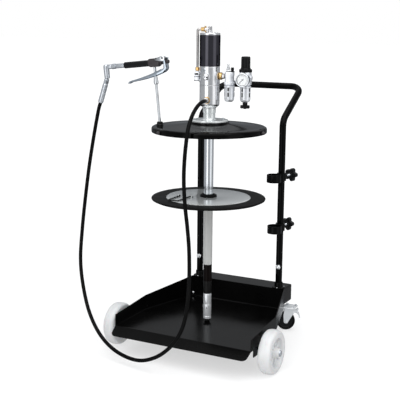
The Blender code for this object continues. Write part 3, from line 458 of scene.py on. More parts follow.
# How fine grain is stretched: across a turned piece, or along a drawn tube.
TURNED = (0.05, 0.05, 1.0)
DRAWN = (1.0, 1.0, 0.04)

# finish: (slot, colour, second colour, settings of surface())
FINISHES = {
    "enamel": ("black_paint", (0.0012, 0.0012, 0.0012), (0.002, 0.002, 0.002),
            dict(rough=(0.15, 0.24), cloud=9, grain=420, bump=0.06, grain_depth=0.0003,
            specular=0.085, wear=(0.02, 0.02, 0.02), wear_amount=0.25)),
    "gloss_black": ("black_paint", (0.001, 0.001, 0.001), (0.0016, 0.0016, 0.0016),
            dict(rough=(0.08, 0.13), cloud=14, grain=600, bump=0.0, specular=0.075)),
    "anodised": ("black_paint", (0.08, 0.078, 0.092), (0.07, 0.068, 0.081), dict(metal=1.0,
            rough=(0.1, 0.16), cloud=20, bump=0.05, tint=0.0, streak=TURNED, streak_scale=2600)),
    "zinc": ("zinc", (0.72, 0.75, 0.77), (0.66, 0.69, 0.72), dict(metal=1.0, rough=(0.18, 0.26),
            cloud=16, grain=1400, bump=0.04)),
    "zinc_plate": ("zinc", (0.82, 0.85, 0.845), (0.76, 0.79, 0.79), dict(metal=0.5,
            rough=(0.1, 0.15), cloud=7, grain=1400, bump=0.0)),
    "bright": ("chrome", (0.9, 0.92, 0.935), (0.83, 0.85, 0.87), dict(metal=0.55,
            rough=(0.12, 0.22), cloud=40, grain=1500, bump=0.03)),
    "plated": ("chrome", (0.6, 0.67, 0.74), (0.5, 0.57, 0.64), dict(metal=1.0, rough=(0.08, 0.18),
            cloud=40, grain=1300, bump=0.04)),
    "satin": ("chrome", (0.66, 0.69, 0.73), (0.56, 0.59, 0.63), dict(metal=0.85, rough=(0.18, 0.3),
            cloud=50, grain=1300, bump=0.08)),
    "castgrey": ("black_paint", (0.044, 0.038, 0.04), (0.034, 0.03, 0.032),
            dict(rough=(0.34, 0.46), cloud=60, grain=1900, bump=0.2, specular=0.3)),
    "zinc_tube": ("zinc", (0.84, 0.87, 0.9), (0.78, 0.81, 0.85), dict(metal=1.0, rough=(0.12, 0.2),
            cloud=10, bump=0.05, streak=DRAWN, streak_scale=2200)),
    "steel": ("steel", (0.6, 0.6, 0.61), (0.5, 0.5, 0.51), dict(metal=1.0, rough=(0.2, 0.34),
            cloud=30, bump=0.16, streak=TURNED, streak_scale=2400)),
    "pipe": ("steel", (0.56, 0.54, 0.53), (0.46, 0.44, 0.43), dict(metal=1.0, rough=(0.34, 0.46),
            cloud=26, grain=1200, bump=0.08)),
    "chrome": ("chrome", (0.84, 0.86, 0.88), (0.76, 0.79, 0.82), dict(metal=1.0,
            rough=(0.04, 0.12), cloud=40, grain=1000, bump=0.03)),
    "aluminium": ("aluminium", (0.88, 0.885, 0.9), (0.83, 0.835, 0.85), dict(metal=1.0,
            rough=(0.2, 0.28), cloud=14, bump=0.07, streak=TURNED, streak_scale=2600)),
    "cast": ("aluminium", (0.86, 0.88, 0.91), (0.8, 0.82, 0.86), dict(metal=0.6,
            rough=(0.26, 0.36), cloud=30, grain=1700, bump=0.2, grain_depth=0.0003)),
    "brass": ("brass", (0.7, 0.47, 0.2), (0.54, 0.35, 0.14), dict(metal=1.0, rough=(0.16, 0.3),
            cloud=30, bump=0.14, streak=TURNED, streak_scale=2400)),
    "rubber": ("black_rubber", (0.0035, 0.0035, 0.0035), (0.0055, 0.0055, 0.0053),
            dict(specular=0.065, rough=(0.46, 0.6), cloud=16, grain=1100, bump=0.25,
            grain_depth=0.0003)),
    "hose": ("black_rubber", (0.0022, 0.0022, 0.0022), (0.0034, 0.0034, 0.0034),
            dict(specular=0.06, rough=(0.32, 0.46), cloud=12, grain=1500, bump=0.2,
            grain_depth=0.0003)),
    # plastic: black plastic parts; also the painted shade ring round the gauge dial.
    "plastic": ("black_plastic", (0.003, 0.003, 0.0034), (0.0048, 0.0048, 0.0052),
            dict(specular=0.2, rough=(0.22, 0.34), cloud=30, grain=2200, bump=0.2)),
    "grip": ("black_plastic", (0.0016, 0.0016, 0.0022), (0.0026, 0.0026, 0.0034),
            dict(specular=0.4, rough=(0.1, 0.16), cloud=24, grain=1800, bump=0.05)),
    "nylon": ("white_nylon", (0.68, 0.685, 0.69), (0.61, 0.615, 0.62), dict(rough=(0.34, 0.48),
            cloud=14, grain=1300, bump=0.1, sub=0.06)),
    "sleeve": ("grey_sleeve", (0.54, 0.545, 0.53), (0.46, 0.465, 0.455), dict(rough=(0.24, 0.36),
            cloud=12, grain=1200, bump=0.1, coat=0.2, coat_rough=0.2)),
    "browned": ("dark_metal", (0.004, 0.0022, 0.002), (0.0028, 0.0017, 0.0016), dict(specular=0.06,
            rough=(0.26, 0.4), cloud=26, bump=0.14, streak=TURNED, streak_scale=2200)),
    # dark: blackened metal parts; also the painted shade gaps on the transfer block.
    "dark": ("dark_metal", (0.006, 0.006, 0.006), (0.009, 0.0088, 0.0086), dict(specular=0.12,
            rough=(0.3, 0.44), cloud=30, grain=1500, bump=0.15)),
    "dial": ("white_dial", (0.95, 0.96, 0.96), (0.91, 0.93, 0.93), dict(rough=(0.26, 0.36),
            cloud=30, grain=1500, bump=0.02)),
    # void: near-black matte for the printed gauge ticks and the slot windows, and for painted
    # shade in holes, ports and grooves.
    "void": ("black_plastic", (0.004, 0.004, 0.004), (0.008, 0.008, 0.008), dict(rough=(0.7, 0.9),
            cloud=30, grain=900, bump=0.2)),
}


def clear(name, tint, rough, spread, transmission=1.0, alpha=1.0):
    made = bpy.data.materials.new(name)
    made.use_nodes = True
    tree = made.node_tree
    shader = tree.nodes["Principled BSDF"]
    shader.inputs["Transmission Weight"].default_value = transmission
    shader.inputs["Alpha"].default_value = alpha
    shader.inputs["IOR"].default_value = 1.45
    shader.inputs["Base Color"].default_value = (*tint, 1.0)
    place = node(tree, "ShaderNodeTexCoord")
    smudge = node(tree, "ShaderNodeTexNoise", in_Scale=60.0, in_Detail=4.0)
    tree.links.new(place.outputs["Object"], smudge.inputs["Vector"])
    tree.links.new(ramp(tree, smudge.outputs["Fac"], rough, rough + spread),
        shader.inputs["Roughness"])
    return made


M = {}
for finish, (slot, colour, second, settings) in FINISHES.items():
    M[finish] = surface(finish, colour, second, **settings)
M["glass"] = clear("glass", (0.97, 0.99, 1.0), 0.01, 0.03, 0.0, 0.12)
M["polycarbonate"] = clear("polycarbonate", (0.93, 0.95, 0.96), 0.04, 0.08)


def show(name, mesh, finish, body, matrix=None, replaces=None, modifiers=()):
    """Put a finished mesh in the scene, on its body, with its material.

    replaces names the CAD node that it stands in for.
    """
    thing = add_object(name, mesh)
    mesh.name = name
    thing.matrix_world = AXIS if matrix is None else matrix
    mesh.materials.clear()
    mesh.materials.append(M[finish])
    for kind, settings in modifiers:
        made = thing.modifiers.new(kind.lower(), kind)
        for key, value in settings.items():
            setattr(made, key, value)
    if replaces:
        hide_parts(replaces)
    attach(thing, body)
    return thing


def turned(name, profile, sides, soft, finish, body, matrix=None, replaces=None, wave=None):
    """Show a piece that is one turned mesh."""
    mesh = lathe(profile, sides, soft, wave=wave)
    return show(name, mesh, finish, body, matrix, replaces)


def dress(nodes, finish):
    """Give carried-over CAD nodes a detailed material."""
    for name in nodes:
        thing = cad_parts[name]
        for slot in thing.material_slots:
            slot.material = M[finish]
        if not thing.material_slots:
            thing.data.materials.append(M[finish])


# ---------------------------------------------------------------- hose
HOSE_R = 6.75
HOSE_ROUTE = [
    (21, -126, 911), (26, -162, 896), (31, -196, 874), (34, -222, 842),
    (34, -235, 800), (29, -237, 740), (25, -234, 670), (29, -233, 589),
    (40, -235, 510), (51, -242, 430), (61, -259, 330), (66, -282, 245),
    (58, -304, 173), (24, -317, 112), (-38, -318, 60), (-120, -306, 31),
    (-220, -282, 38), (-306, -252, 75), (-374, -220, 141), (-423, -187, 230),
    (-452, -158, 320), (-461, -130, 429), (-459, -109, 545), (-452, -90, 665),
    (-438, -76, 780),
]
OUTLET_REACH = 63.2
OUTLET_Z = 920.8
FERRULE_TOP = (-204.7, -42.5)
FERRULE_TURN = 24.7
FERRULE_LENGTH = 91.9
HOSE_STRAIGHT = 30
HOSE_STEP = 6


def make_hose():
    ferrule = GUN @ at(FERRULE_TOP[0], 0, FERRULE_TOP[1]) @ spin(FERRULE_TURN, "Y")
    ends = [at(0, -OUTLET_REACH, OUTLET_Z), at(0, -OUTLET_REACH - HOSE_STRAIGHT, OUTLET_Z)]
    knots = [(MOTOR @ end).translation for end in ends]
    knots += [(AXIS @ at(*point)).translation for point in HOSE_ROUTE]
    for reach in (FERRULE_LENGTH + HOSE_STRAIGHT, FERRULE_LENGTH):
        knots.append((ferrule @ at(0, 0, -reach)).translation)
    route, length = smooth_route(knots, HOSE_STEP * MM)
    mesh = sweep([point / MM for point in route], HOSE_R, 24)
    hose = add_object("hose_skin", mesh)
    mesh.materials.append(M["hose"])
    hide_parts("hose")
    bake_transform(hose)


make_hose()


# ---------------------------------------------------------------- trolley
FLOOR_TOP = 102
TRAY_HALF = 268.5
REAR_HALF = 198
FRONT_Y = -204
KINK_Y = 9.4
LEDGE_Y = 255
BACK_Y = 342
LEDGE_TOP = 184
SKIRT = 122
LIP_Y = -245
LIP_Z = 78
LIP_ROUND = 18
WALL_FRONT = 143
WALL_KINK = 158
FLANGE = 10
SHEET = 3
FOLD_ROUND = 4.5
EDGE_ROUND = 0.6


def wall_top(y):
    """The height of the tray's side wall, which rises to the back in two slopes."""
    if y <= KINK_Y:
        return WALL_FRONT + (y - FRONT_Y) / (KINK_Y - FRONT_Y) * (WALL_KINK - WALL_FRONT)
    return WALL_KINK + (y - KINK_Y) / (LEDGE_Y - KINK_Y) * (LEDGE_TOP - WALL_KINK)


def near(first, second):
    return abs(first - second) < 0.5


def grow(shape, edges):
    """Extrude edges and give back the new corners, to be moved."""
    grown = bmesh.ops.extrude_edge_only(shape, edges=edges)["geom"]
    return [item for item in grown if isinstance(item, bmesh.types.BMVert)]


def edges_where(shape, test):
    return [edge for edge in shape.edges if all(test(v.co) for v in edge.verts)]


def make_tray():
    """Fold the tray from its floor: lip in front, walls, shelf and skirt behind."""
    right = [(TRAY_HALF, FRONT_Y), (TRAY_HALF, KINK_Y), (REAR_HALF, LEDGE_Y)]
    left = [(-x, y) for x, y in reversed(right)]
    shape = bmesh.new()
    corners = [shape.verts.new((x, y, FLOOR_TOP)) for x, y in right + left]
    shape.faces.new(corners)
    front = edges_where(shape, lambda co: near(co.y, FRONT_Y))
    for vert in grow(shape, front):
        vert.co.y = LIP_Y
        vert.co.z = LIP_Z
    tips = [v for v in shape.verts if near(v.co.y, LIP_Y)]
    bmesh.ops.bevel(shape, geom=tips, offset=LIP_ROUND, segments=6, profile=0.5, affect="VERTICES")
    sides = []
    for edge in shape.edges:
        ramp_edge = any(v.co.y < FRONT_Y - 1 for v in edge.verts)
        hinge_edge = all(near(v.co.y, FRONT_Y) for v in edge.verts)
        if edge.is_boundary and (not ramp_edge) and (not hinge_edge):
            sides.append(edge)
    for vert in grow(shape, sides):
        vert.co.z = wall_top(vert.co.y)
    edge = edges_where(shape, lambda co: near(co.y, LEDGE_Y) and near(co.z, LEDGE_TOP))
    for vert in grow(shape, edge):
        vert.co.y = LEDGE_Y + FLANGE
    edge = edges_where(shape, lambda co: near(co.y, LEDGE_Y + FLANGE) and near(co.z, LEDGE_TOP))
    for vert in grow(shape, edge):
        vert.co.y = BACK_Y
    shelf = edges_where(shape, lambda co: co.y > LEDGE_Y + FLANGE - 1 and near(co.z, LEDGE_TOP))
    for vert in grow(shape, [e for e in shelf if e.is_boundary]):
        vert.co.z = SKIRT
    bmesh.ops.remove_doubles(shape, verts=shape.verts, dist=0.02)
    bmesh.ops.scale(shape, vec=(MM, MM, MM), verts=shape.verts)
    bmesh.ops.recalc_face_normals(shape, faces=shape.faces)
    floor = min(shape.faces, key=lambda f: abs(f.calc_center_median().z - FLOOR_TOP * MM))
    if floor.normal.z < 0:
        bmesh.ops.reverse_faces(shape, faces=shape.faces)
    mesh = bpy.data.meshes.new("tray_sheet")
    shape.to_mesh(mesh)
    shape.free()
    mesh.shade_smooth()
    bend = ("BEVEL", {"width": FOLD_ROUND * MM, "segments": 4, "limit_method": "ANGLE",
        "angle_limit": math.radians(12)})
    skin = ("SOLIDIFY", {"thickness": SHEET * MM, "offset": -1.0, "use_even_offset": True})
    soften = ("BEVEL", {"width": EDGE_ROUND * MM, "segments": 2, "limit_method": "ANGLE",
        "angle_limit": math.radians(60)})
    normals = ("WEIGHTED_NORMAL", {"keep_sharp": True})
    show("tray_sheet", mesh, "enamel", "trolley", replaces="tray",
        modifiers=[bend, skin, soften, normals])


def bolt(radius, height, washer=0.0):
    """A button-head screw, its seat at z = 0 and its head upward."""
    profile = [(0, height), (radius * 0.55, height), (radius * 0.9, height * 0.6),
        (radius, height * 0.15), (radius, 0.0)]
    if washer:
        profile += [(washer, 0.0), (washer, -0.8), (0, -0.8)]
    else:
        profile += [(0, 0.0)]
    return lathe(profile, 24, 0.3)


LEG_X = 171.2
LEG_Y = 270.7
TUBE_R = 12.7
TUBE_BEND = 45
LEG_BOLT_Z = 268.5


def make_handle():
    base = LEDGE_TOP + 0.4
    leg = [(-LEG_X, LEG_Y, base), (-LEG_X, LEG_Y, 832), (-LEG_X, 454.3, 945)]
    other = [(-x, y, z) for x, y, z in reversed(leg)]
    route = rounded_path(leg + other, TUBE_BEND, 12)
    show("handle_tube", sweep(route, TUBE_R, 32), "gloss_black", "trolley", replaces="handle")
    feet = []
    screws = []
    for sign in (-1, 1):
        profile = [(12.9, 22), (16, 22), (16.5, 6), (25, 3.5), (25, 0.0), (12.9, 0.0)]
        spot = at(sign * LEG_X, LEG_Y, base)
        feet.append((lathe(profile, 40, 1), spot))
        for turn in (35, 155, 275):
            spot_screw = spot @ spin(turn) @ at(20.7, 0, 3.5)
            screws.append((bolt(2.6, 1.6), spot_screw))
        spot_bolt = at(sign * LEG_X, LEG_Y - 12.4, LEG_BOLT_Z) @ ALONG_FRONT
        screws.append((bolt(7, 4.8, washer=9.6), spot_bolt))
        nut = hexagon(10, 17, 12.6)
        screws.append((nut, at(sign * LEG_X, LEG_Y, LEG_BOLT_Z) @ ALONG_BACK))
    show("handle_feet", gather(feet), "enamel", "trolley")
    riser = at(-192.5, LEDGE_Y - 0.2, 115) @ ALONG_FRONT
    wall = at(-265.3, 12, 115) @ ALONG_X
    screws.append((bolt(4.6, 2.6), riser))
    show("wall_bolt", bolt(3.6, 1.2), "dark", "trolley", AXIS @ wall)
    show("handle_screws", gather(screws), "bright", "trolley")


WHEEL_X = 310.1
WHEEL_Y = -120.5
WHEEL_R = 78.5
WHEEL_RIBS = 8


def make_front_wheels():
    half = 22.75
    bore = 8.4
    profile = [(bore, half + 8), (14, half + 8), (15, half + 6), (17.5, half - 6), (21, half - 13),
        (44, half - 14.5), (48.5, half - 12), (51.5, half - 2), (55, half), (64, half),
        (64.8, half - 1.4), (66.4, half - 1.4), (67.2, half - 0.4), (71.5, half - 1.2),
        (75.2, half - 4.6), (77.4, half - 10), (WHEEL_R, half - 18), (WHEEL_R, 3.4), (77.9, 2.6),
        (77.9, 1), (WHEEL_R, 0.2), (WHEEL_R, -half + 18), (77.4, -half + 10), (75.2, -half + 4.6),
        (71.5, -half + 1.2), (64, -half), (55, -half), (51.5, -half + 2), (48.5, -half + 10),
        (44, -half + 12), (17, -half + 6), (15.5, -half), (bore, -half)]
    for side, sign in (("left", -1), ("right", 1)):
        spot = AXIS @ at(sign * WHEEL_X, WHEEL_Y, WHEEL_R) @ spin(sign * 90, "Y")
        parts = [(lathe(profile, 96, 1.2), HERE)]
        for index in range(WHEEL_RIBS):
            rib = box_mesh((33, 3, 7), 1)
            parts.append((rib, spin(360 / WHEEL_RIBS * index) @ at(33.5, 0, half - 12)))
        body = "wheel_" + side
        show("wheel_tyre_" + side, gather(parts), "nylon", body, spot,
            replaces="front_wheel_" + side)
    end = WHEEL_X + half + 8.4
    cap = [(0, end + 6), (6, end + 5.8), (10, end + 4), (11.3, end + 1.2), (11.3, end), (8, end),
        (8, -end), (11.3, -end), (11.3, -end - 1.2), (10, -end - 4), (6, -end - 5.8),
        (0, -end - 6)]
    turned("axle_bar", cap, 40, 0.6, "satin", "trolley", AXIS @ at(0, WHEEL_Y, WHEEL_R) @ ALONG_X,
        replaces="front_axle")
    dress(["axle_carrier"], "enamel")


CASTER_TURN = 26.0
CASTER_SPOT = (196, 334)
PEDAL_X = 10
PEDAL_Z = 74.5


def make_casters():
    parts = [(box_mesh((376, 120, 4), 1), at(0, 275, 96.4))]
    bolts = []
    for sign in (-1, 1):
        spot = at(sign * CASTER_SPOT[0], CASTER_SPOT[1], 93.1)
        outline = rounded_box(50, 50, 6, 5)
        parts.append((prism(outline, 3.6, 0.6), spot))
        for dx in (-17.5, 17.5):
            for dy in (-17.5, 17.5):
                head = hexagon(8.5, 6.5, 1.8)
                bolts.append((head, spot @ at(dx, dy, 0.0)))
    show("caster_mount", gather(parts), "bright", "trolley", replaces="caster_bar")
    show("caster_bolts", gather(bolts), "zinc", "trolley")
    for side, sign in (("left", -1), ("right", 1)):
        make_caster(side, sign)


def make_caster(side, sign):
    spot = AXIS @ at(sign * CASTER_SPOT[0], CASTER_SPOT[1], 0) @ spin(CASTER_TURN)
    half = 12
    axle = 36
    trail = -15
    cheek = [(21.5, 88.5), (-21.5, 88.5), (-25, 62), (trail - 8.8, axle - 1),
        (trail - 6.6, axle - 6.5), (trail, axle - 8.2), (trail + 6.6, axle - 6.5),
        (trail + 8.8, axle - 1), (12, 66), (21.5, 79)]
    outline = fillet(cheek, 5, 4, loop=True)
    parts = []
    for way in (-1, 1):
        plate = prism(outline, 2.2, 0.5)
        parts.append((plate, at(0, way * (half + 2.7), 0) @ ALONG_FRONT))
    crown = prism(rounded_box(43, 31, 5, 4), 2.6, 0.6)
    parts.append((crown, at(0, 0, 87.6)))
    race = lathe([(6, 90.4), (16.5, 90.4), (19, 89.6), (19, 88.5), (6, 88.5)], 40, 0.4)
    parts.append((race, HERE))
    pin = lathe([(0, 18.5), (4.8, 18.3), (5.8, 16.2), (3.8, 15.6), (3.8, -15.6), (5.8, -16.2),
        (4.8, -18.3), (0, -18.5)], 24, 0.4)
    parts.append((pin, at(trail, 0, axle) @ ALONG_FRONT))
    pivot = lathe([(0, 16.2), (3, 16), (3, 15), (2, 14.6), (2, -14.6), (3, -15), (3, -16),
        (0, -16.2)], 16, 0.2)
    parts.append((pivot, at(PEDAL_X, 0, PEDAL_Z) @ ALONG_FRONT))
    show("caster_fork_skin_" + side, gather(parts), "bright", "fork_" + side, spot,
        replaces="caster_fork_" + side)
    tread = above(half, [(26.5, -2), (30, -0.6), (33, -0.4), (35.2, -3), (36, -6.4)])
    tyre = tread + [(radius, -z) for radius, z in reversed(tread)]
    where = spot @ at(trail, 0, axle) @ ALONG_FRONT
    turned("caster_tyre_" + side, tyre, 64, 0.8, "rubber", "caster_" + side, where,
        replaces="caster_wheel_" + side)
    face = above(half, [(4.2, 0), (8.5, 0), (10, -2.2), (24, -4.2), (26.2, -2.4)])
    hub = face + [(radius, -z) for radius, z in reversed(face)]
    turned("caster_hub_" + side, hub, 48, 0.6, "plastic", "caster_" + side, where)
    pedal = [(-4, 3.6), (-4, -3.6), (14, -4.8), (24, -15), (27, -26), (30.8, -25), (28, -12),
        (21.2, -1), (24, 10), (21.2, 11.8), (12, 3.8)]
    skin = prism(fillet(pedal, 1.2, 2, loop=True), 18, 0.8)
    show("caster_pedal_" + side, skin, "bright", "brake_" + side,
        spot @ at(PEDAL_X, 0, PEDAL_Z) @ ALONG_FRONT, replaces="caster_brake_" + side)


# clamp: (height, turn round the leg in degrees)
CLAMPS = {"upper": (618.6, 12.0), "lower": (425, 3.0)}
LOBES = 5


def make_clamps():
    for level, (height, turn) in CLAMPS.items():
        spot = AXIS @ at(LEG_X, LEG_Y, height) @ spin(-turn)
        web = 9
        collar_edge = math.degrees(math.asin(web / 17.8))
        ring_edge = math.degrees(math.asin(web / 27))
        outside = arc((0, 0), 17.8, -90 + collar_edge, 270 - collar_edge, 40)
        outside += arc((0, -50), 27, 90 + ring_edge, 450 - ring_edge, 56)
        holes = [circle((0, 0), 13.1, 48), circle((0, -50), 23.5, 64)]
        plate = prism(outside, 29, 0.9, holes, 3)
        boss = lathe([(4.6, 28), (8.5, 28), (8.5, 15), (4.6, 15)], 32, 0.8)
        parts = [(plate, HERE), (boss, ALONG_BACK)]
        show("clamp_ring_" + level, gather(parts), "enamel", "clamp_" + level, spot,
            replaces="ring_clamp_" + level)
        outline = []
        for step in range(LOBES * 20):
            angle = math.tau * step / (LOBES * 20)
            reach = 22.6 + 4 * math.cos(LOBES * angle) - 0.8 * math.cos(2 * LOBES * angle)
            outline.append((reach * math.cos(angle), reach * math.sin(angle)))
        knob = prism(outline, 18, 2.6, segments=4)
        hub = lathe([(0, 11.2), (6, 11), (8.5, 8.5), (9.5, 6), (9.5, -11), (8, -12.5), (0, -12.5)],
            40, 0.8)
        where = spot @ at(0, 66, 0) @ ALONG_BACK
        show("star_knob_skin_" + level, gather([(knob, HERE), (hub, HERE)]), "plastic",
            "clamp_knob_" + level, where, replaces="star_knob_" + level)
        shaft = []
        z = -12
        while z > -52:
            shaft += [(4, z), (3.4, z - 0.5)]
            z -= 1
        shaft = [(0, -11), (4, -11)] + shaft + [(3, -52.4), (0, -52.4)]
        turned("knob_screw_" + level, shaft, 24, 0, "zinc", "clamp_knob_" + level, where)


# ---------------------------------------------------------------- pump column
FOOT_PORT_Z = 157
FOOT_PORT_TURNS = (20, 110, 200, 290)


def make_column():
    lower, upper = span("suction_tube")
    tube = [(12, upper.z), (17, upper.z), (17, lower.z + 1), (16.2, lower.z), (12, lower.z)]
    turned("suction_tube_skin", tube, 64, 0.4, "zinc_tube", "pump", replaces="suction_tube")
    top = span("lower_sleeve")[1].z
    collar = above(top, [(12, 0), (17.4, 0), (17.6, -0.8), (17.6, -6.8), (17.2, -7.5), (12, -7.5)])
    turned("coupling_ring", collar, 64, 0.3, "zinc_tube", "pump")
    low = span("lower_sleeve")[0].z
    sleeve = [(8, top - 7.7), (16.3, top - 7.7), (16.35, top - 9), (16.35, low + 1.2), (15.6, low),
        (8, low)]
    turned("lower_sleeve_skin", sleeve, 64, 0.3, "sleeve", "pump", replaces="lower_sleeve")
    low, high = span("pump_barrel")
    split = 257.8
    barrel = [(8, high.z), (15, high.z), (15.6, high.z - 1.2), (15.6, split + 1.2), (15.1, split),
        (8, split)]
    turned("barrel_upper", barrel, 64, 0.3, "browned", "pump", replaces="pump_barrel")
    barrel = [(8, split - 0.2), (14.9, split - 0.2), (15.25, split - 1.4), (15.25, low.z + 2),
        (14, low.z), (8, low.z)]
    turned("barrel_lower", barrel, 64, 0.3, "dark", "pump")
    low, high = span("foot_valve")
    wide = (high.x - low.x) / 2 + 0.6
    foot = [(8, high.z), (wide - 0.6, high.z), (wide, high.z - 1), (wide, 172),
        (wide - 0.6, 171.4), (wide - 0.6, 169), (wide, 168.4), (wide, 126), (wide - 0.8, 125.2),
        (wide - 0.8, 123.6), (wide, 122.8), (wide, low.z + 1.2), (wide - 1, low.z), (11.2, low.z),
        (11.2, 197), (8, 199.5)]
    holes = []
    for turn in FOOT_PORT_TURNS:
        rim = lathe([(2, 0.3), (3.4, 0.2), (3.4, -0.6), (2, -0.6)], 24, 0.1)
        holes.append((rim, spin(turn) @ at(wide - 0.2, 0, FOOT_PORT_Z) @ ALONG_X))
    show("foot_skin", gather([(lathe(foot, 64, 0.3), HERE)] + holes), "bright", "pump",
        replaces="foot_valve")
    # Painted shade: a flat dark disc in each port stands in for the shade inside the hole.
    dots = []
    for turn in FOOT_PORT_TURNS:
        dot = lathe([(0, 0.3), (2.4, 0.3), (2.4, -0.3), (0, -0.3)], 20, 0)
        dots.append((dot, spin(turn) @ at(wide, 0, FOOT_PORT_Z) @ ALONG_X))
    show("foot_port_shades", gather(dots), "void", "pump")
    low, high = span("drive_rod")
    rod = [(0, high.z), (6, high.z), (6, low.z + 12), (8.5, low.z + 10.5), (9.8, low.z + 9),
        (10, low.z + 3), (8.8, low.z), (0, low.z)]
    turned("drive_rod_skin", rod, 48, 0.6, "dark", "piston", replaces="drive_rod")


FLANGE_TOP = 850.5


def make_cover():
    outer_r = 205
    top = 826.5
    boss = FLANGE_TOP - 7.4
    crown = boss - 5.5
    bottom = 806
    dome = 162
    outer = [(30, boss), (69, boss), (70.5, boss - 0.8), (71.4, boss - 2.4), (72.2, crown + 1.2),
        (74.5, crown - 0.4), (118, top + 5.3), (dome, top + 0.4), (outer_r - 20, top),
        (outer_r - 12.5, top + 0.8), (outer_r - 6, top - 0.4), (outer_r - 1.5, top - 3),
        (outer_r, top - 6.8), (outer_r, bottom + 3), (outer_r - 0.8, bottom + 0.8),
        (outer_r - 2.2, bottom)]
    inner = [(outer_r - 3, bottom + 1.5), (outer_r - 2.6, top - 7), (outer_r - 6, top - 3.5),
        (outer_r - 20, top - 2.4), (dome, top - 2.2), (74.5, crown - 2.8), (69, boss - 4),
        (30, boss - 4)]
    turned("cover_skin", outer + inner, 160, 1.2, "gloss_black", "pump", replaces="drum_cover")
    for index in range(3):
        turn = 120 * index
        seat = at(0, 0, bottom + 8.5) @ spin(turn) @ ALONG_X
        profile = above(outer_r, [(0, 9), (4.2, 8.8), (5.8, 7), (6, 4.8), (6, 1.6), (5.6, 0.6),
            (3, 0.5), (3, -7.8), (0, -7.8)])
        head = lathe(profile, 48, 0.4, wave=ribs(0.3, 24, 5.7, 206, 213))
        show("cover_screw_skin_%d" % (index + 1), head, "castgrey", "screw_%d" % (index + 1),
            AXIS @ seat, replaces="cover_screw_%d" % (index + 1))
        ring = lathe(above(outer_r, [(3.6, 0.3), (8, 0.1), (8.2, -1.6), (3.6, -1.6)]), 40, 0.2)
        show("screw_boss_%d" % (index + 1), ring, "enamel", "pump", AXIS @ seat)


def make_flange():
    top = FLANGE_TOP
    neck = 795
    profile = [(8, 891.6), (22.6, 891.6), (23, 890.8), (23, 875.5), (22.4, 874.5), (21.3, 874),
        (21.3, top + 5), (22.5, top + 1.6), (26, top), (65, top), (66.8, top - 0.6),
        (67.3, top - 1.8), (67.3, top - 5.8), (66.2, top - 7), (28.5, top - 7), (28.5, neck + 6),
        (20.5, neck), (8, neck)]
    parts = [(lathe(profile, 128, 0.5), HERE)]
    show("flange_skin", gather(parts), "zinc_plate", "pump", replaces="bung_flange")
    screws = []
    for index in range(4):
        spot = spin(45 + 90 * index) @ at(52, 0, top + 0.4)
        screws.append((hexagon(8.5, 4, 0.0), spot))
    show("flange_screws", gather(screws), "zinc", "pump")


def make_holder():
    low, high = span("gun_holder")
    spot = at((low.x + high.x) / 2, (low.y + high.y) / 2, 0)
    base = low.z
    profile = above(base, [(6.7, 12), (9.6, 12), (10.7, 10.6), (10.8, 3.6), (12, 2.4), (12.5, 1),
        (12.5, 0), (0, 0), (0, 1.8), (6.7, 1.8)])
    show("holder_cup", lathe(profile, 48, 0.5, loop=False), "plastic", "pump", spot,
        replaces="gun_holder")


FOLLOWER_Z = 560
BAIL = (-68, -50)


def make_follower():
    z = FOLLOWER_Z
    rim = 205.7
    bore = 18.1
    profile = above(z, [(bore, 10), (30, 10), (150, 9.5), (153.4, 9.6), (154.5, 10.8), (157, 11.2),
        (rim - 6, 10.8), (rim - 1.6, 10), (rim, 7.8), (rim - 1, 5), (rim - 6, 2.8),
        (rim - 11, 0.4), (rim - 20, 0), (bore, 0)])
    turned("follower_rubber_skin", profile, 160, 1, "rubber", "follower",
        replaces="follower_rubber")
    wiper = []
    for step in range(20):
        turn = math.tau * step / 20
        wiper.append((24.8 + 5.8 * math.cos(turn), z + 15.8 + 5.4 * math.sin(turn)))
    parts = [(lathe(wiper, 72, 0), HERE)]
    lip = above(z, [(bore, 16.5), (21.2, 15), (21.2, 10.2), (bore, 10.2)])
    parts.append((lathe(lip, 64, 0.6), HERE))
    show("follower_wiper", gather(parts), "rubber", "follower")
    low = z + 9.9
    disc = above(low, [(30.4, 3), (33, 3.3), (144, 3), (149, 2.6), (152, 1), (152, 0), (30.4, 0)])
    parts = [(lathe(disc, 128, 0.6), HERE)]
    for sign in (-1, 1):
        ear = prism(fillet([(-4.5, -2.5), (4.5, -2.5), (4.5, 4), (-4.5, 4)], 1.8, 3, loop=True), 4,
            0.5)
        spot = at(BAIL[0] + sign * 27, BAIL[1], low + 5) @ spin(90) @ ALONG_FRONT
        parts.append((ear, spot))
    show("follower_disc_skin", gather(parts), "zinc_plate", "follower", replaces="follower_disc")
    pivot = span("bail_handle")[0].z + 2
    inside = 19
    corners = [(31.5, 0, 0), (inside, 0, 0), (inside, -10, 0), (inside, -92, 0)]
    corners += [(-x, y, zz) for x, y, zz in reversed(corners)]
    route = rounded_path(corners, 6, 6)
    show("bail_wire", sweep(route, 2.2, 16), "dark", "bail", AXIS @ at(BAIL[0], BAIL[1], pivot),
        replaces="bail_handle")


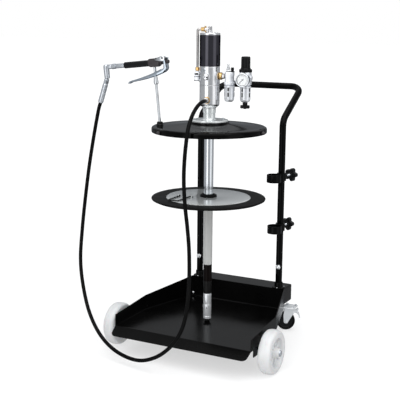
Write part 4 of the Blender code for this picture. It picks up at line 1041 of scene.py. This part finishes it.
# ---------------------------------------------------------------- motor
def make_motor():
    low, high = span("motor_cylinder")
    profile = [(31.8, high.z), (35.7, high.z), (36.3, high.z - 1), (36.3, low.z + 1),
        (35.7, low.z), (31.8, low.z)]
    turned("motor_sleeve", profile, 128, 0.3, "anodised", "pump", MOTOR, replaces="motor_cylinder")
    base = high.z + 0.4
    cap = above(base, [(4.5, 8.4), (12, 8.4), (12, 7.4), (32.5, 7.4), (34.6, 6.2), (35.2, 4.6),
        (35.2, 0), (4.5, 0)])
    parts = [(lathe(cap, 128, 0.6), HERE)]
    for index in range(4):
        spot = spin(45 + 90 * index) @ at(24.5, 0, base + 7.5)
        parts.append((bolt(4, 3), spot))
    boss = above(base, [(4.5, 15), (7.2, 15), (7.6, 7), (4.5, 7)])
    parts.append((lathe(boss, 48, 0.6), HERE))
    show("motor_cap_skin", gather(parts), "aluminium", "pump", MOTOR, replaces="motor_cap")
    low, high = span("valve_body")
    body = [(8, high.z), (34.8, high.z), (35.4, high.z - 0.8), (35.4, 1035.5), (35, 1035.1),
        (35, 1034.5), (35.4, 1034.1), (35.4, low.z + 0.8), (34.9, low.z), (8, low.z)]
    turned("valve_body_skin", body, 128, 0.2, "aluminium", "pump", MOTOR, replaces="valve_body")
    low, high = span("outlet_body")
    body = [(8, high.z), (34.9, high.z), (35.4, high.z - 0.8), (35.4, 906), (34.5, 903),
        (32, 898.5), (27, 896), (25, 894.5), (25, low.z), (8, low.z)]
    turned("outlet_body_skin", body, 128, 0.5, "aluminium", "pump", MOTOR, replaces="outlet_body")
    low, high = span("air_piston")
    body = [(0, high.z), (30, high.z), (31.4, high.z - 1.2), (31.4, low.z), (0, low.z)]
    turned("piston_skin", body, 96, 0.5, "aluminium", "piston", MOTOR, replaces="air_piston")
    plugs = []
    for turn, z in ((60, 960), (200, 987), (150, 925), (250, 1025)):
        plug = lathe([(0, 36.6), (5, 36.6), (6, 36), (6, 34.5), (0, 34.5)], 32, 0.3)
        plugs.append((plug, at(0, 0, z) @ spin(turn) @ ALONG_X))
    show("motor_plugs", gather(plugs), "zinc", "pump", MOTOR)


def make_transfer():
    top = 1164
    reach = 45
    base = span("top_elbow")[0].z
    post = lathe([(0, top + 10.5), (5, top + 10.5), (6.2, top + 9.2), (6.6, top + 4),
        (7, base + 1), (6.6, base), (0, base)], 40, 0.6)
    nut = hexagon(12.5, base + 6.2, base)
    parts = [(post, HERE), (nut, HERE)]
    arm = lathe([(0, 19), (6.2, 19), (6.2, 6), (5.2, 5), (5.2, 0.0), (0, 0.0)], 32, 0.4)
    parts.append((arm, at(0, 0, top) @ ALONG_LEFT))
    show("elbow_skin", gather(parts), "steel", "pump", MOTOR, replaces="top_elbow")
    banjo = lathe(above(top, [(0, 11.5), (2.6, 11.5), (3.2, 10.7), (3.2, 6.6), (4.6, 6), (4.6, -6),
        (3.2, -6.6), (3.2, -9), (2.6, -9.8), (0, -9.8)]), 32, 0.3)
    nut = hexagon(13, 33, 19.5, chamfer=1.1)
    lower = hexagon(13, 1033.5, 1020.5, chamfer=1.1)
    show("pipe_nuts", gather([(nut, at(0, 0, top) @ ALONG_LEFT), (banjo, at(-17.2, 0, 0)),
        (lower, at(-reach, 0, 0))]), "brass", "pump", MOTOR)
    corners = [(-33, 0, top), (-reach, 0, top), (-reach, 0, 1018)]
    route = rounded_path(corners, 11, 10)
    show("pipe_skin", sweep(route, 4.3, 24), "pipe", "pump", MOTOR, replaces="transfer_pipe")
    low = 985.2
    block = box_mesh((17.5, 20, 31), 2.2, 3)
    collar = lathe([(4.4, 1020), (6.4, 1020), (6.8, 1016), (4.4, 1015)], 32, 0.4)
    screw = bolt(3.6, 1.8)
    parts = [(block, at(-45.5, 0, low + 15.5)), (collar, at(-reach, 0, 0))]
    # Painted shade: the two thin dark slabs are shadow lines across the block, at mid height and
    # at its foot; the two dark screws are screw heads.
    shade_gap = box_mesh((18.2, 20.6, 2.2), 0.4)
    dark = [(screw, at(-48.2, -10, low + 24.5) @ ALONG_FRONT), (screw,
        at(-42.5, -10, low + 24.5) @ ALONG_FRONT), (shade_gap, at(-45.5, 0, low + 15)),
        (shade_gap, at(-45.5, 0, low + 1))]
    show("transfer_screws_and_shade_gaps", gather(dark), "dark", "pump", MOTOR)
    show("transfer_block_skin", gather(parts), "cast", "pump", MOTOR, replaces="transfer_block")


MUFFLER_Z = 1003


def make_fittings():
    centre = MOTOR @ at(0, 0, MUFFLER_Z) @ ALONG_FRONT
    face = 35.8
    profile = above(face, [(0, 20.5), (1.6, 20.5), (2, 21.8), (8, 22.5), (10.5, 21.5), (12, 18.5),
        (12.2, 7), (11.2, 5.6), (8.5, 5), (8.5, 0), (0, 0)])
    turned("muffler_skin", profile, 64, 0.6, "aluminium", "pump", centre, replaces="muffler",
        wave=ribs(0.4, 28, 11.8))
    # Painted shade: a flat dark disc stands in for the shaded opening of the muffler, and a thin
    # dark ring for the shade in its groove.
    hole = lathe(above(face, [(0, 22.8), (3, 22.8), (3, 21.6), (0, 21.6)]), 24, 0)
    groove_shade = lathe(above(face, [(7.8, 22.4), (7.8, 22.7), (8.7, 22.5), (8.7, 22)]), 48, 0)
    show("muffler_opening_shade", gather([(hole, at(4.5, -1.5, 0)), (groove_shade, HERE)]), "void", "pump",
        centre)
    ring = above(face, [(9, 7.8), (11.6, 7.8), (12.2, 6.8), (12.2, 1.2), (11.4, 0), (9, 0)])
    where = MOTOR @ at(0, 0, OUTLET_Z) @ ALONG_FRONT
    turned("outlet_ring", ring, 64, 0.5, "brass", "pump", where, replaces="outlet_fitting")
    body = hexagon(19, face + 18, face + 7.8)
    neck = lathe(above(face, [(0, 27), (7.8, 27), (8.2, 26.2), (8.2, 18), (0, 18)]), 48, 0.4)
    show("outlet_nut", gather([(body, HERE), (neck, HERE)]), "steel", "pump", where)


# ---------------------------------------------------------------- air line
LINE_TOP = 1019
LINE_BOTTOM = 974
LUBE_X = 71.5
REG_X = 128.5
PORT_Z = 999


def shell(wide, deep, low, high, waist):
    """A die-cast housing: a rounded square that swells at its rims."""
    outline = rounded_box(wide, deep, min(wide, deep) * 0.3, 8)
    levels = [(low, 0.8), (low + 1.6, 0.8), (low + 2.2, 0.985), (low + 10, 1.0),
        (low + 11.2, 0.93 * waist), (high - 15, 0.91 * waist), (high - 12, 0.97 * waist),
        (high - 1.6, 0.96 * waist), (high, 0.92 * waist)]
    shape = bmesh.new()
    rings = []
    for z, scale in levels:
        rings.append([shape.verts.new((x * scale, y * scale, z)) for x, y in outline])
    count = len(outline)
    for first, second in zip(rings, rings[1:]):
        for index in range(count):
            after = (index + 1) % count
            shape.faces.new((first[index], first[after], second[after], second[index]))
    shape.faces.new(list(reversed(rings[0])))
    shape.faces.new(rings[-1])
    return finish_mesh(shape, 40)


def bowl(radius, low, high):
    """A metal bowl guard with a flat foot and a step under its ring."""
    profile = [(0.0, high), (radius - 4, high), (radius - 4, high - 1.6), (radius, high - 2.2),
        (radius, high - 8), (radius - 1.2, high - 9), (radius - 1.2, low + 13),
        (radius - 1.8, low + 8), (radius - 4.2, low + 3.6), (radius - 8, low + 0.8),
        (radius - 10.5, low), (0, low)]
    return lathe(profile, 96, 1.4)


def slots(radius, first):
    """Four pairs of sight slots round the guard, as shallow dark windows."""
    parts = []
    for z, tall in ((959.4, 13), (941.2, 15)):
        outline = rounded_box(5.4, tall, 1.8, 4)
        for turn in range(first, first + 360, 90):
            window = prism(outline, 1.2, 0.3)
            spot = at(0, 0, z) @ spin(turn) @ at(radius - 1.2, 0, 0)
            parts.append((window, spot @ spin(90) @ ALONG_FRONT))
    return gather(parts)


def make_air_line():
    start = LUBE_X - 17
    ring = [(5, start - 9.6), (12.6, start - 9.6), (13.2, start - 10.4), (13.2, start - 14),
        (12, start - 14.7), (12.6, start - 15.4), (13.2, start - 16), (13, 35.9), (5, 35.9)]
    where = MOTOR @ at(0, 0, 1004) @ ALONG_X
    turned("inlet_rings", ring, 64, 0.4, "brass", "pump", where, replaces="inlet_nut")
    nipple = hexagon(16.5, start - 0.4, start - 9.5)
    show("inlet_nipple", nipple, "steel", "pump", where)
    low, high = (LINE_BOTTOM, LINE_TOP)
    show("lubricator_shell", shell(35.5, 39, low, high, 0.9), "cast", "pump",
        MOTOR @ at(LUBE_X, 0, 0), replaces="lubricator_body")
    regulator = [(shell(40, 42, low, high, 1.0), HERE)]
    neck = [(0, -19.5), (9.2, -19.5), (10, -20.4), (10, -22.6), (9.2, -23.5), (0, -23.5)]
    regulator.append((lathe(neck, 48, 0.6), at(0, 0, PORT_Z) @ ALONG_X))
    port = [(5.8, 23), (9.8, 23), (10.5, 22.2), (10.5, 19), (0.0, 19), (0.0, 11), (5.8, 11)]
    regulator.append((lathe(port, 48, 0.3, loop=False), at(0, 0, PORT_Z) @ ALONG_X))
    show("regulator_shell", gather(regulator), "cast", "pump", MOTOR @ at(REG_X, 0, 0),
        replaces="regulator_body")
    # Painted shade: a flat dark disc inside the port stands in for the shade in its bore.
    port_shade = lathe([(0, 22.4), (5.7, 22.4), (5.7, 21.5), (0, 21.5)], 32, 0)
    show("air_port_shade", port_shade, "void", "pump", MOTOR @ at(REG_X, 0, PORT_Z) @ ALONG_X)
    for name, x, radius, first in (("lubricator_bowl", LUBE_X, 18.7, -90),
            ("filter_bowl", REG_X, 19.7, -113)):
        bottom, top = span(name)
        show(name + "_skin", bowl(radius, bottom.z, top.z), "cast", "pump", MOTOR @ at(x, 0, 0),
            replaces=name)
        show(name + "_slots", slots(radius, first), "void", "pump", MOTOR @ at(x, 0, 0))
    make_lubricator_top()
    make_regulator_top()
    make_drain()
    make_gauge()


def make_lubricator_top():
    base = LINE_TOP + 0.4
    spot = MOTOR @ at(LUBE_X - 5, 0, 0)
    dome = above(base, [(0, 27.8), (3, 27.4), (5, 25.5), (5.8, 22.5), (6, 8), (7, 6.8), (8, 6),
        (8, 0), (0, 0)])
    turned("sight_dome", dome, 48, 0.6, "polycarbonate", "oil_adjuster", spot,
        replaces="oil_adjuster")
    stem = above(base, [(0, 24), (1.8, 23.5), (2.2, 15), (3.4, 14), (3.6, 7), (0, 6.8)])
    turned("sight_stem", stem, 32, 0.3, "aluminium", "oil_adjuster", spot)
    plug = above(base, [(0, 15.5), (4.8, 15.3), (5.6, 14.3), (5.6, 6), (5, 5.2), (5, 2.8),
        (6.2, 2), (6.2, 0), (0, 0)])
    parts = [(lathe(plug, 40, 0.4), at(LUBE_X + 10, 0, 0))]
    pad = box_mesh((18, 22, 2.2), 0.8)
    parts.append((pad, at(LUBE_X + 7, 0, base + 0.9)))
    show("fill_plug", gather(parts), "plastic", "pump", MOTOR)


def make_regulator_top():
    base = LINE_TOP + 0.4
    spot = MOTOR @ at(REG_X, 0, 0)
    profile = above(base, [(8.5, 14.8), (16.5, 14.8), (17.5, 14), (18.2, 11), (22.2, 10),
        (23, 8.5), (23, 1), (22.2, 0), (8.5, 0)])
    turned("bonnet_skin", profile, 96, 0.5, "plastic", "pump", spot, replaces="bonnet",
        wave=ribs(0.9, 16, 22.5))
    low, high = span("pressure_knob")
    knob = [(0, high.z), (6, high.z), (13.2, high.z - 0.6), (15.2, high.z - 2.4), (16, high.z - 5),
        (16.2, low.z + 5), (16.3, low.z + 3), (16.3, low.z), (0, low.z)]
    turned("knob_skin", knob, 144, 0.6, "plastic", "pressure_knob", spot, replaces="pressure_knob",
        wave=knob_ribs)


def knob_ribs(turn, radius, z):
    if radius > 13.5:
        return radius - 1 * max(0.0, math.cos(18 * turn)) ** 2
    return radius


def make_drain():
    low, high = span("drain_cock")
    top = high.z
    stem = above(top, [(0, 0), (8, 0), (8.6, -1), (8.6, -7), (7.2, -9), (7, -15), (5.8, -16),
        (5.2, -22.5), (0, -22.5)])
    wing = prism(rounded_box(33, 12, 4, 5), 8.8, 1.6)
    parts = [(lathe(stem, 48, 0.5), HERE), (wing, at(0, 0, top - 15) @ ALONG_FRONT)]
    show("drain_skin", gather(parts), "plastic", "drain", MOTOR @ at(REG_X, 0, 0),
        replaces="drain_cock")


GAUGE_Z = 995
GAUGE_FRONT = 55
TICKS = 31


def make_gauge():
    where = MOTOR @ at(REG_X, 0, GAUGE_Z) @ ALONG_FRONT
    face = 21.4
    front = GAUGE_FRONT
    radius = 23.5
    case = [(5, face), (5, face + 5), (radius - 4, face + 5.8), (radius - 1, face + 8),
        (radius - 0.4, face + 11), (radius - 0.6, front - 6), (radius, front - 5),
        (radius, front - 1), (radius - 1, front), (radius - 2.6, front), (radius - 3.4, front - 1),
        (radius - 3.6, front - 6), (0, front - 6), (0, face)]
    turned("gauge_shell", case, 96, 0.4, "chrome", "pump", where, replaces="gauge_case")
    dial = lathe(above(front, [(1.8, -5.4), (18.8, -5.4), (18.8, -5.9), (1.8, -5.9)]), 64, 0)
    show("gauge_dial", dial, "dial", "pump", where)
    # Painted shade: a dark plastic ring between dial and bezel stands in for the shadow gap round
    # the dial.
    shade_ring = lathe(above(front, [(18.8, -5.2), (19.8, -2), (20.6, -2), (20.6, -5.6), (18.8, -5.6)]),
        64, 0)
    show("gauge_shade_ring", shade_ring, "plastic", "pump", where)
    marks = []
    for index in range(TICKS):
        turn = 225 - 9 * index
        long = index % 5 == 0
        size = (3 if long else 1.6, 0.5 if long else 0.3, 0.2)
        tick = box_mesh(size, 0)
        spot = spin(turn) @ at(17.8 - size[0] / 2, 0, front - 5.3)
        marks.append((tick, spot))
    show("gauge_marks", gather(marks), "void", "pump", where)
    glass = above(front, [(0, -0.4), (10, -0.6), (19.8, -1.4), (19.8, -2.4), (0, -2)])
    turned("gauge_glass", glass, 64, 0, "glass", "pump", where)
    dress(["gauge_needle"], "plastic")


# ---------------------------------------------------------------- gun
def make_gun():
    grip = [(4, 0.0), (10.8, 0.0), (11.3, 0.6), (11.4, 4), (11.3, 96), (11.7, 98.5), (11.7, 100.4),
        (11, 101), (4, 101)]
    where = GUN @ at(-122, 0, 0) @ ALONG_X
    turned("grip_skin", grip, 72, 0.8, "grip", "gun", where, replaces="gun_grip", wave=grip_shape)
    side = [(-20.5, 8), (-17, 14), (-12, 15.2), (11, 15.2), (15, 12), (24, 8), (24.8, 2),
        (24.5, -6), (21, -12), (15, -15), (-10, -15), (-17, -12), (-20.5, -7)]
    head = prism(fillet(side, 2.2, 3, loop=True), 25, 2.6, segments=3)
    show("head_skin", head, "castgrey", "gun", GUN @ ALONG_FRONT, replaces="gun_head")
    cap = [(0, 60.2), (4, 60), (5.8, 59.2), (6.6, 57.8), (6.6, 49), (6, 47.8), (5.2, 47),
        (5.2, 33), (8.6, 32.2), (9, 24), (0, 24)]
    turned("needle_cap", cap, 48, 0.5, "castgrey", "gun", GUN @ ALONG_X)
    make_bracket()
    make_lever()
    make_nozzle()
    make_swivel()


def grip_shape(turn, radius, z):
    if radius > 10 and 4 <= z < 98:
        return radius + 0.3 * math.sin(math.pi * z / 100)
    return radius


def make_bracket():
    outline = [(12, 14.5), (19, 16), (35, 20), (46, 20), (50.5, 15), (49, 7), (42, 3), (30, 3.5),
        (23, 5.5), (12, 8.5)]
    parts = []
    for way in (-1, 1):
        cheek = prism(fillet(outline, 1.6, 3, loop=True), 2.4, 0.5)
        parts.append((cheek, at(0, way * 14.5, 0) @ ALONG_FRONT))
    strap = box_mesh((7.5, 29, 1.8), 0.6)
    parts.append((strap, at(16.5, 0, 15.8) @ spin(-8, "Y")))
    show("bracket_skin", gather(parts), "chrome", "gun", GUN, replaces="lever_bracket")
    pins = []
    for x, z, radius in ((41.7, 13.6, 3.6), (16.5, 13, 3)):
        pin = lathe([(0, 16.6), (radius * 0.8, 16.4), (radius, 15.8), (radius, 15), (2.2, 14.8),
            (2.2, -14.8), (radius, -15), (radius, -15.8), (radius * 0.8, -16.4), (0, -16.6)], 24,
            0.2)
        pins.append((pin, at(x, 0, z) @ ALONG_FRONT))
    show("bracket_pins", gather(pins), "dark", "gun", GUN)


def make_lever():
    """The pressed channel lever: two cheeks joined by a web, its tip flared."""
    spine = [(44.5, 13.6), (47, -6), (47, -22.5), (40, -27.6), (20, -34.8), (0, -40.8),
        (-30, -47.8), (-60, -53.4), (-85, -57), (-100, -59.4), (-109, -64.5)]
    depth = [7.6, 7.6, 10, 13.5, 13, 11.6, 9.8, 7.4, 5.6, 4.2, 3]
    half = [12.2, 12.2, 12.4, 12.5, 12.5, 12.5, 12.5, 12.5, 12.4, 12, 11.2]
    dense = 6
    line = []
    for index in range((len(spine) - 1) * dense + 1):
        place = index / dense
        low = min(int(place), len(spine) - 2)
        t = place - low
        smooth = t * t * (3 - 2 * t)
        here = Vector(spine[low]).lerp(Vector(spine[low + 1]), t)
        deep = depth[low] + (depth[low + 1] - depth[low]) * smooth
        wide = half[low] + (half[low + 1] - half[low]) * smooth
        line.append((here, deep, wide))
    shape = bmesh.new()
    rings = []
    for index, (here, deep, wide) in enumerate(line):
        before = line[max(0, index - 1)][0]
        after = line[min(len(line) - 1, index + 1)][0]
        along = (after - before).normalized()
        under = Vector((-along.y, along.x))
        if under.y > 0 and index > 3 * dense:
            under = -under
        elif index <= 3 * dense:
            under = Vector((abs(along.y), -abs(along.x) * 0.2)).normalized()
        top = here - under * deep * 0.5
        web = here + under * deep * 0.5
        section = [(-wide, top), (-wide, here), (-wide * 0.97, web - under * deep * 0.12),
            (-wide * 0.8, web), (0.0, web), (wide * 0.8, web),
            (wide * 0.97, web - under * deep * 0.12), (wide, here), (wide, top)]
        rings.append([shape.verts.new((p.x, y, p.y)) for y, p in section])
    gap_from, gap_to = (dense * 3 + 1, dense * 6)
    for number, (first, second) in enumerate(zip(rings, rings[1:])):
        for side in range(8):
            web_face = side in (3, 4)
            if web_face and (number < dense * 1 or gap_from <= number < gap_to):
                continue
            shape.faces.new((first[side], first[side + 1], second[side + 1], second[side]))
    mesh = finish_mesh(shape, 50)
    skin = ("SOLIDIFY", {"thickness": 1.3 * MM, "offset": 0.0})
    soften = ("BEVEL", {"width": 0.4 * MM, "segments": 2, "limit_method": "ANGLE",
        "angle_limit": math.radians(55)})
    show("lever_skin", mesh, "plated", "lever", GUN, replaces="gun_lever",
        modifiers=[skin, soften])


def make_nozzle():
    low = -15.4
    profile = [(0, low), (5, low), (5, -30), (5, -45), (5.6, -46.8), (6.2, -48), (7.2, -56),
        (8.6, -67.5), (8.7, -70), (8, -73.8), (6, -75), (4.7, -75.8), (4.7, -208), (4.4, -210),
        (4.4, -214), (3.4, -216), (0, -216)]
    turned("nozzle_skin", profile, 48, 0.6, "chrome", "gun", GUN, replaces="gun_nozzle")


COLLAR_X = -122.4
KNUCKLE_X = -203


def make_swivel():
    profile = [(0, 0), (7.4, 0), (8.6, 1.2), (8.7, 35), (8, 36.2), (7.2, 37), (7.2, 38.4),
        (0, 38.4)]
    where = GUN @ at(COLLAR_X, 0, 0) @ ALONG_LEFT
    parts = [(lathe(profile, 64, 0.5), HERE), (hexagon(17.2, 56.6, 38.4), HERE), (lathe([(0, 84),
        (8.6, 84), (8.6, 60), (8, 56.6), (0, 56.6)], 48, 0.6), HERE)]
    knuckle = lathe([(0, 9.2), (6, 9), (9, 7), (10.4, 3), (10.6, -6), (10.6, -24), (10.2, -25.6),
        (10.2, -36.8), (9.9, -39.8), (8.6, -41.8), (0, -42.4)], 64, 1)
    show("swivel_skin", gather(parts), "satin", "gun", where, replaces="swivel_elbow")
    show("swivel_knuckle", knuckle, "satin", "gun", GUN @ at(KNUCKLE_X, 0, 0))
    length = FERRULE_LENGTH - 0.4
    hexpart = hexagon(18.5, -3, -16.5)
    ferrule = lathe([(0, 0), (8.2, 0), (8.8, -1), (8.8, -3), (7.8, -16.6), (7.8, -18.5),
        (9, -19.6), (9.8, -21), (9.8, -33), (9.3, -34), (9.3, -36), (9.8, -37), (9.8, -50),
        (9.3, -51), (9.3, -53), (9.8, -54), (9.8, -length + 2), (8.8, -length), (0, -length)], 64,
        0.3)
    where = GUN @ at(FERRULE_TOP[0], 0, FERRULE_TOP[1]) @ spin(FERRULE_TURN, "Y")
    show("ferrule_skin", gather([(hexpart, HERE), (ferrule, HERE)]), "satin", "ferrule", where,
        replaces="hose_ferrule")


# ---------------------------------------------------------------- stage and light
FLOOR_SIZE = 40.0
FLOOR_DROP = -0.0002
FLOOR_GLOW = 0.58


def make_stage():
    shape = bmesh.new()
    bmesh.ops.create_grid(shape, x_segments=2, y_segments=2, size=FLOOR_SIZE / MM)
    mesh = finish_mesh(shape)
    floor = add_object("floor", mesh)
    floor.location.z = FLOOR_DROP
    floor.visible_glossy = False
    paint = bpy.data.materials.new("floor")
    paint.use_nodes = True
    tree = paint.node_tree
    shader = tree.nodes["Principled BSDF"]
    shader.inputs["Base Color"].default_value = (0.42, 0.42, 0.42, 1.0)
    shader.inputs["Roughness"].default_value = 0.9
    shader.inputs["Emission Color"].default_value = (1.0, 1.0, 1.0, 1.0)
    shader.inputs["Emission Strength"].default_value = FLOOR_GLOW
    shader.inputs["Specular IOR Level"].default_value = 0.0
    mesh.materials.append(paint)


def maths(tree, operation, *values):
    """A math node's result; each value is a number or another node's output."""
    made = node(tree, "ShaderNodeMath", operation=operation)
    for socket, value in zip(made.inputs, values):
        if isinstance(value, bpy.types.NodeSocket):
            tree.links.new(value, socket)
        else:
            socket.default_value = value
    return made.outputs[0]


def softbox(tree, azimuth, elevation, centre, half_width, low, high):
    """A soft-edged window of the sky: 1 inside, 0 outside, angles in degrees."""
    blur = 4.0
    aside = maths(tree, "WRAP", maths(tree, "SUBTRACT", azimuth, centre), -180.0, 180.0)
    aside = maths(tree, "ABSOLUTE", aside)
    across = ramp(tree, aside, 1.0, 0.0, half_width - blur, half_width + blur)
    above = ramp(tree, elevation, 0.0, 1.0, low - blur, low + blur)
    below = ramp(tree, elevation, 1.0, 0.0, high - blur, high + blur)
    return maths(tree, "MULTIPLY", maths(tree, "MULTIPLY", across, above), below)


# centre, half width, lowest, highest, brightness
SOFTBOXES = (
    (-99.8, 15.0, -70.0, 62.0, 1.25),
    (-10.0, 17.0, -70.0, 62.0, 0.68),
    (117.0, 30.0, 26.0, 70.0, 0.4),
    (117.0, 42.0, -100.0, 12.0, -0.2),
)
SKY = (0.385, 0.395, 0.41, 1.0)
OVERHEAD = 0.55
SUN_FROM = (0.25, -0.45, 1.0)
SUN_SPREAD = 80.0
SUN_POWER = 2.1


def make_lights():
    world = bpy.data.worlds.new("studio")
    bpy.context.scene.world = world
    world.use_nodes = True
    tree = world.node_tree
    room = tree.nodes["Background"]
    place = node(tree, "ShaderNodeTexCoord")
    split = node(tree, "ShaderNodeSeparateXYZ")
    tree.links.new(place.outputs["Generated"], split.inputs["Vector"])
    around = maths(tree, "ARCTAN2", split.outputs["Y"], split.outputs["X"])
    azimuth = maths(tree, "DEGREES", around)
    elevation = maths(tree, "DEGREES", maths(tree, "ARCSINE", split.outputs["Z"]))
    total = 0.0
    for centre, half, low, high, bright in SOFTBOXES:
        window = softbox(tree, azimuth, elevation, centre, half, low, high)
        total = maths(tree, "MULTIPLY_ADD", window, bright, total)
    overhead = ramp(tree, elevation, 0.0, OVERHEAD, 50.0, 80.0)
    lit = node(tree, "ShaderNodeMix", data_type="RGBA", blend_type="ADD")
    lit.inputs["Factor"].default_value = 1.0
    lit.inputs["A"].default_value = SKY
    tree.links.new(maths(tree, "ADD", total, overhead), lit.inputs["B"])
    tree.links.new(lit.outputs["Result"], room.inputs["Color"])
    room.inputs["Strength"].default_value = 1.0
    paper = node(tree, "ShaderNodeBackground")
    paper.inputs["Color"].default_value = (1.0, 1.0, 1.0, 1.0)
    paper.inputs["Strength"].default_value = 1.0
    rays = node(tree, "ShaderNodeLightPath")
    chosen = node(tree, "ShaderNodeMixShader")
    tree.links.new(rays.outputs["Is Camera Ray"], chosen.inputs["Fac"])
    tree.links.new(room.outputs["Background"], chosen.inputs[1])
    tree.links.new(paper.outputs["Background"], chosen.inputs[2])
    tree.links.new(chosen.outputs["Shader"], tree.nodes["World Output"].inputs["Surface"])
    data = bpy.data.lights.new("sun", "SUN")
    data.angle = math.radians(SUN_SPREAD)
    data.energy = SUN_POWER
    sun = add_object("sun", data)
    sun.rotation_euler = Vector(SUN_FROM).to_track_quat("Z", "Y").to_euler()
    bpy.context.scene.view_settings.view_transform = "Standard"


make_tray()
make_handle()
make_front_wheels()
make_casters()
make_clamps()
make_column()
make_cover()
make_flange()
make_holder()
make_follower()
make_motor()
make_transfer()
make_fittings()
make_air_line()
make_gun()
make_stage()
make_lights()
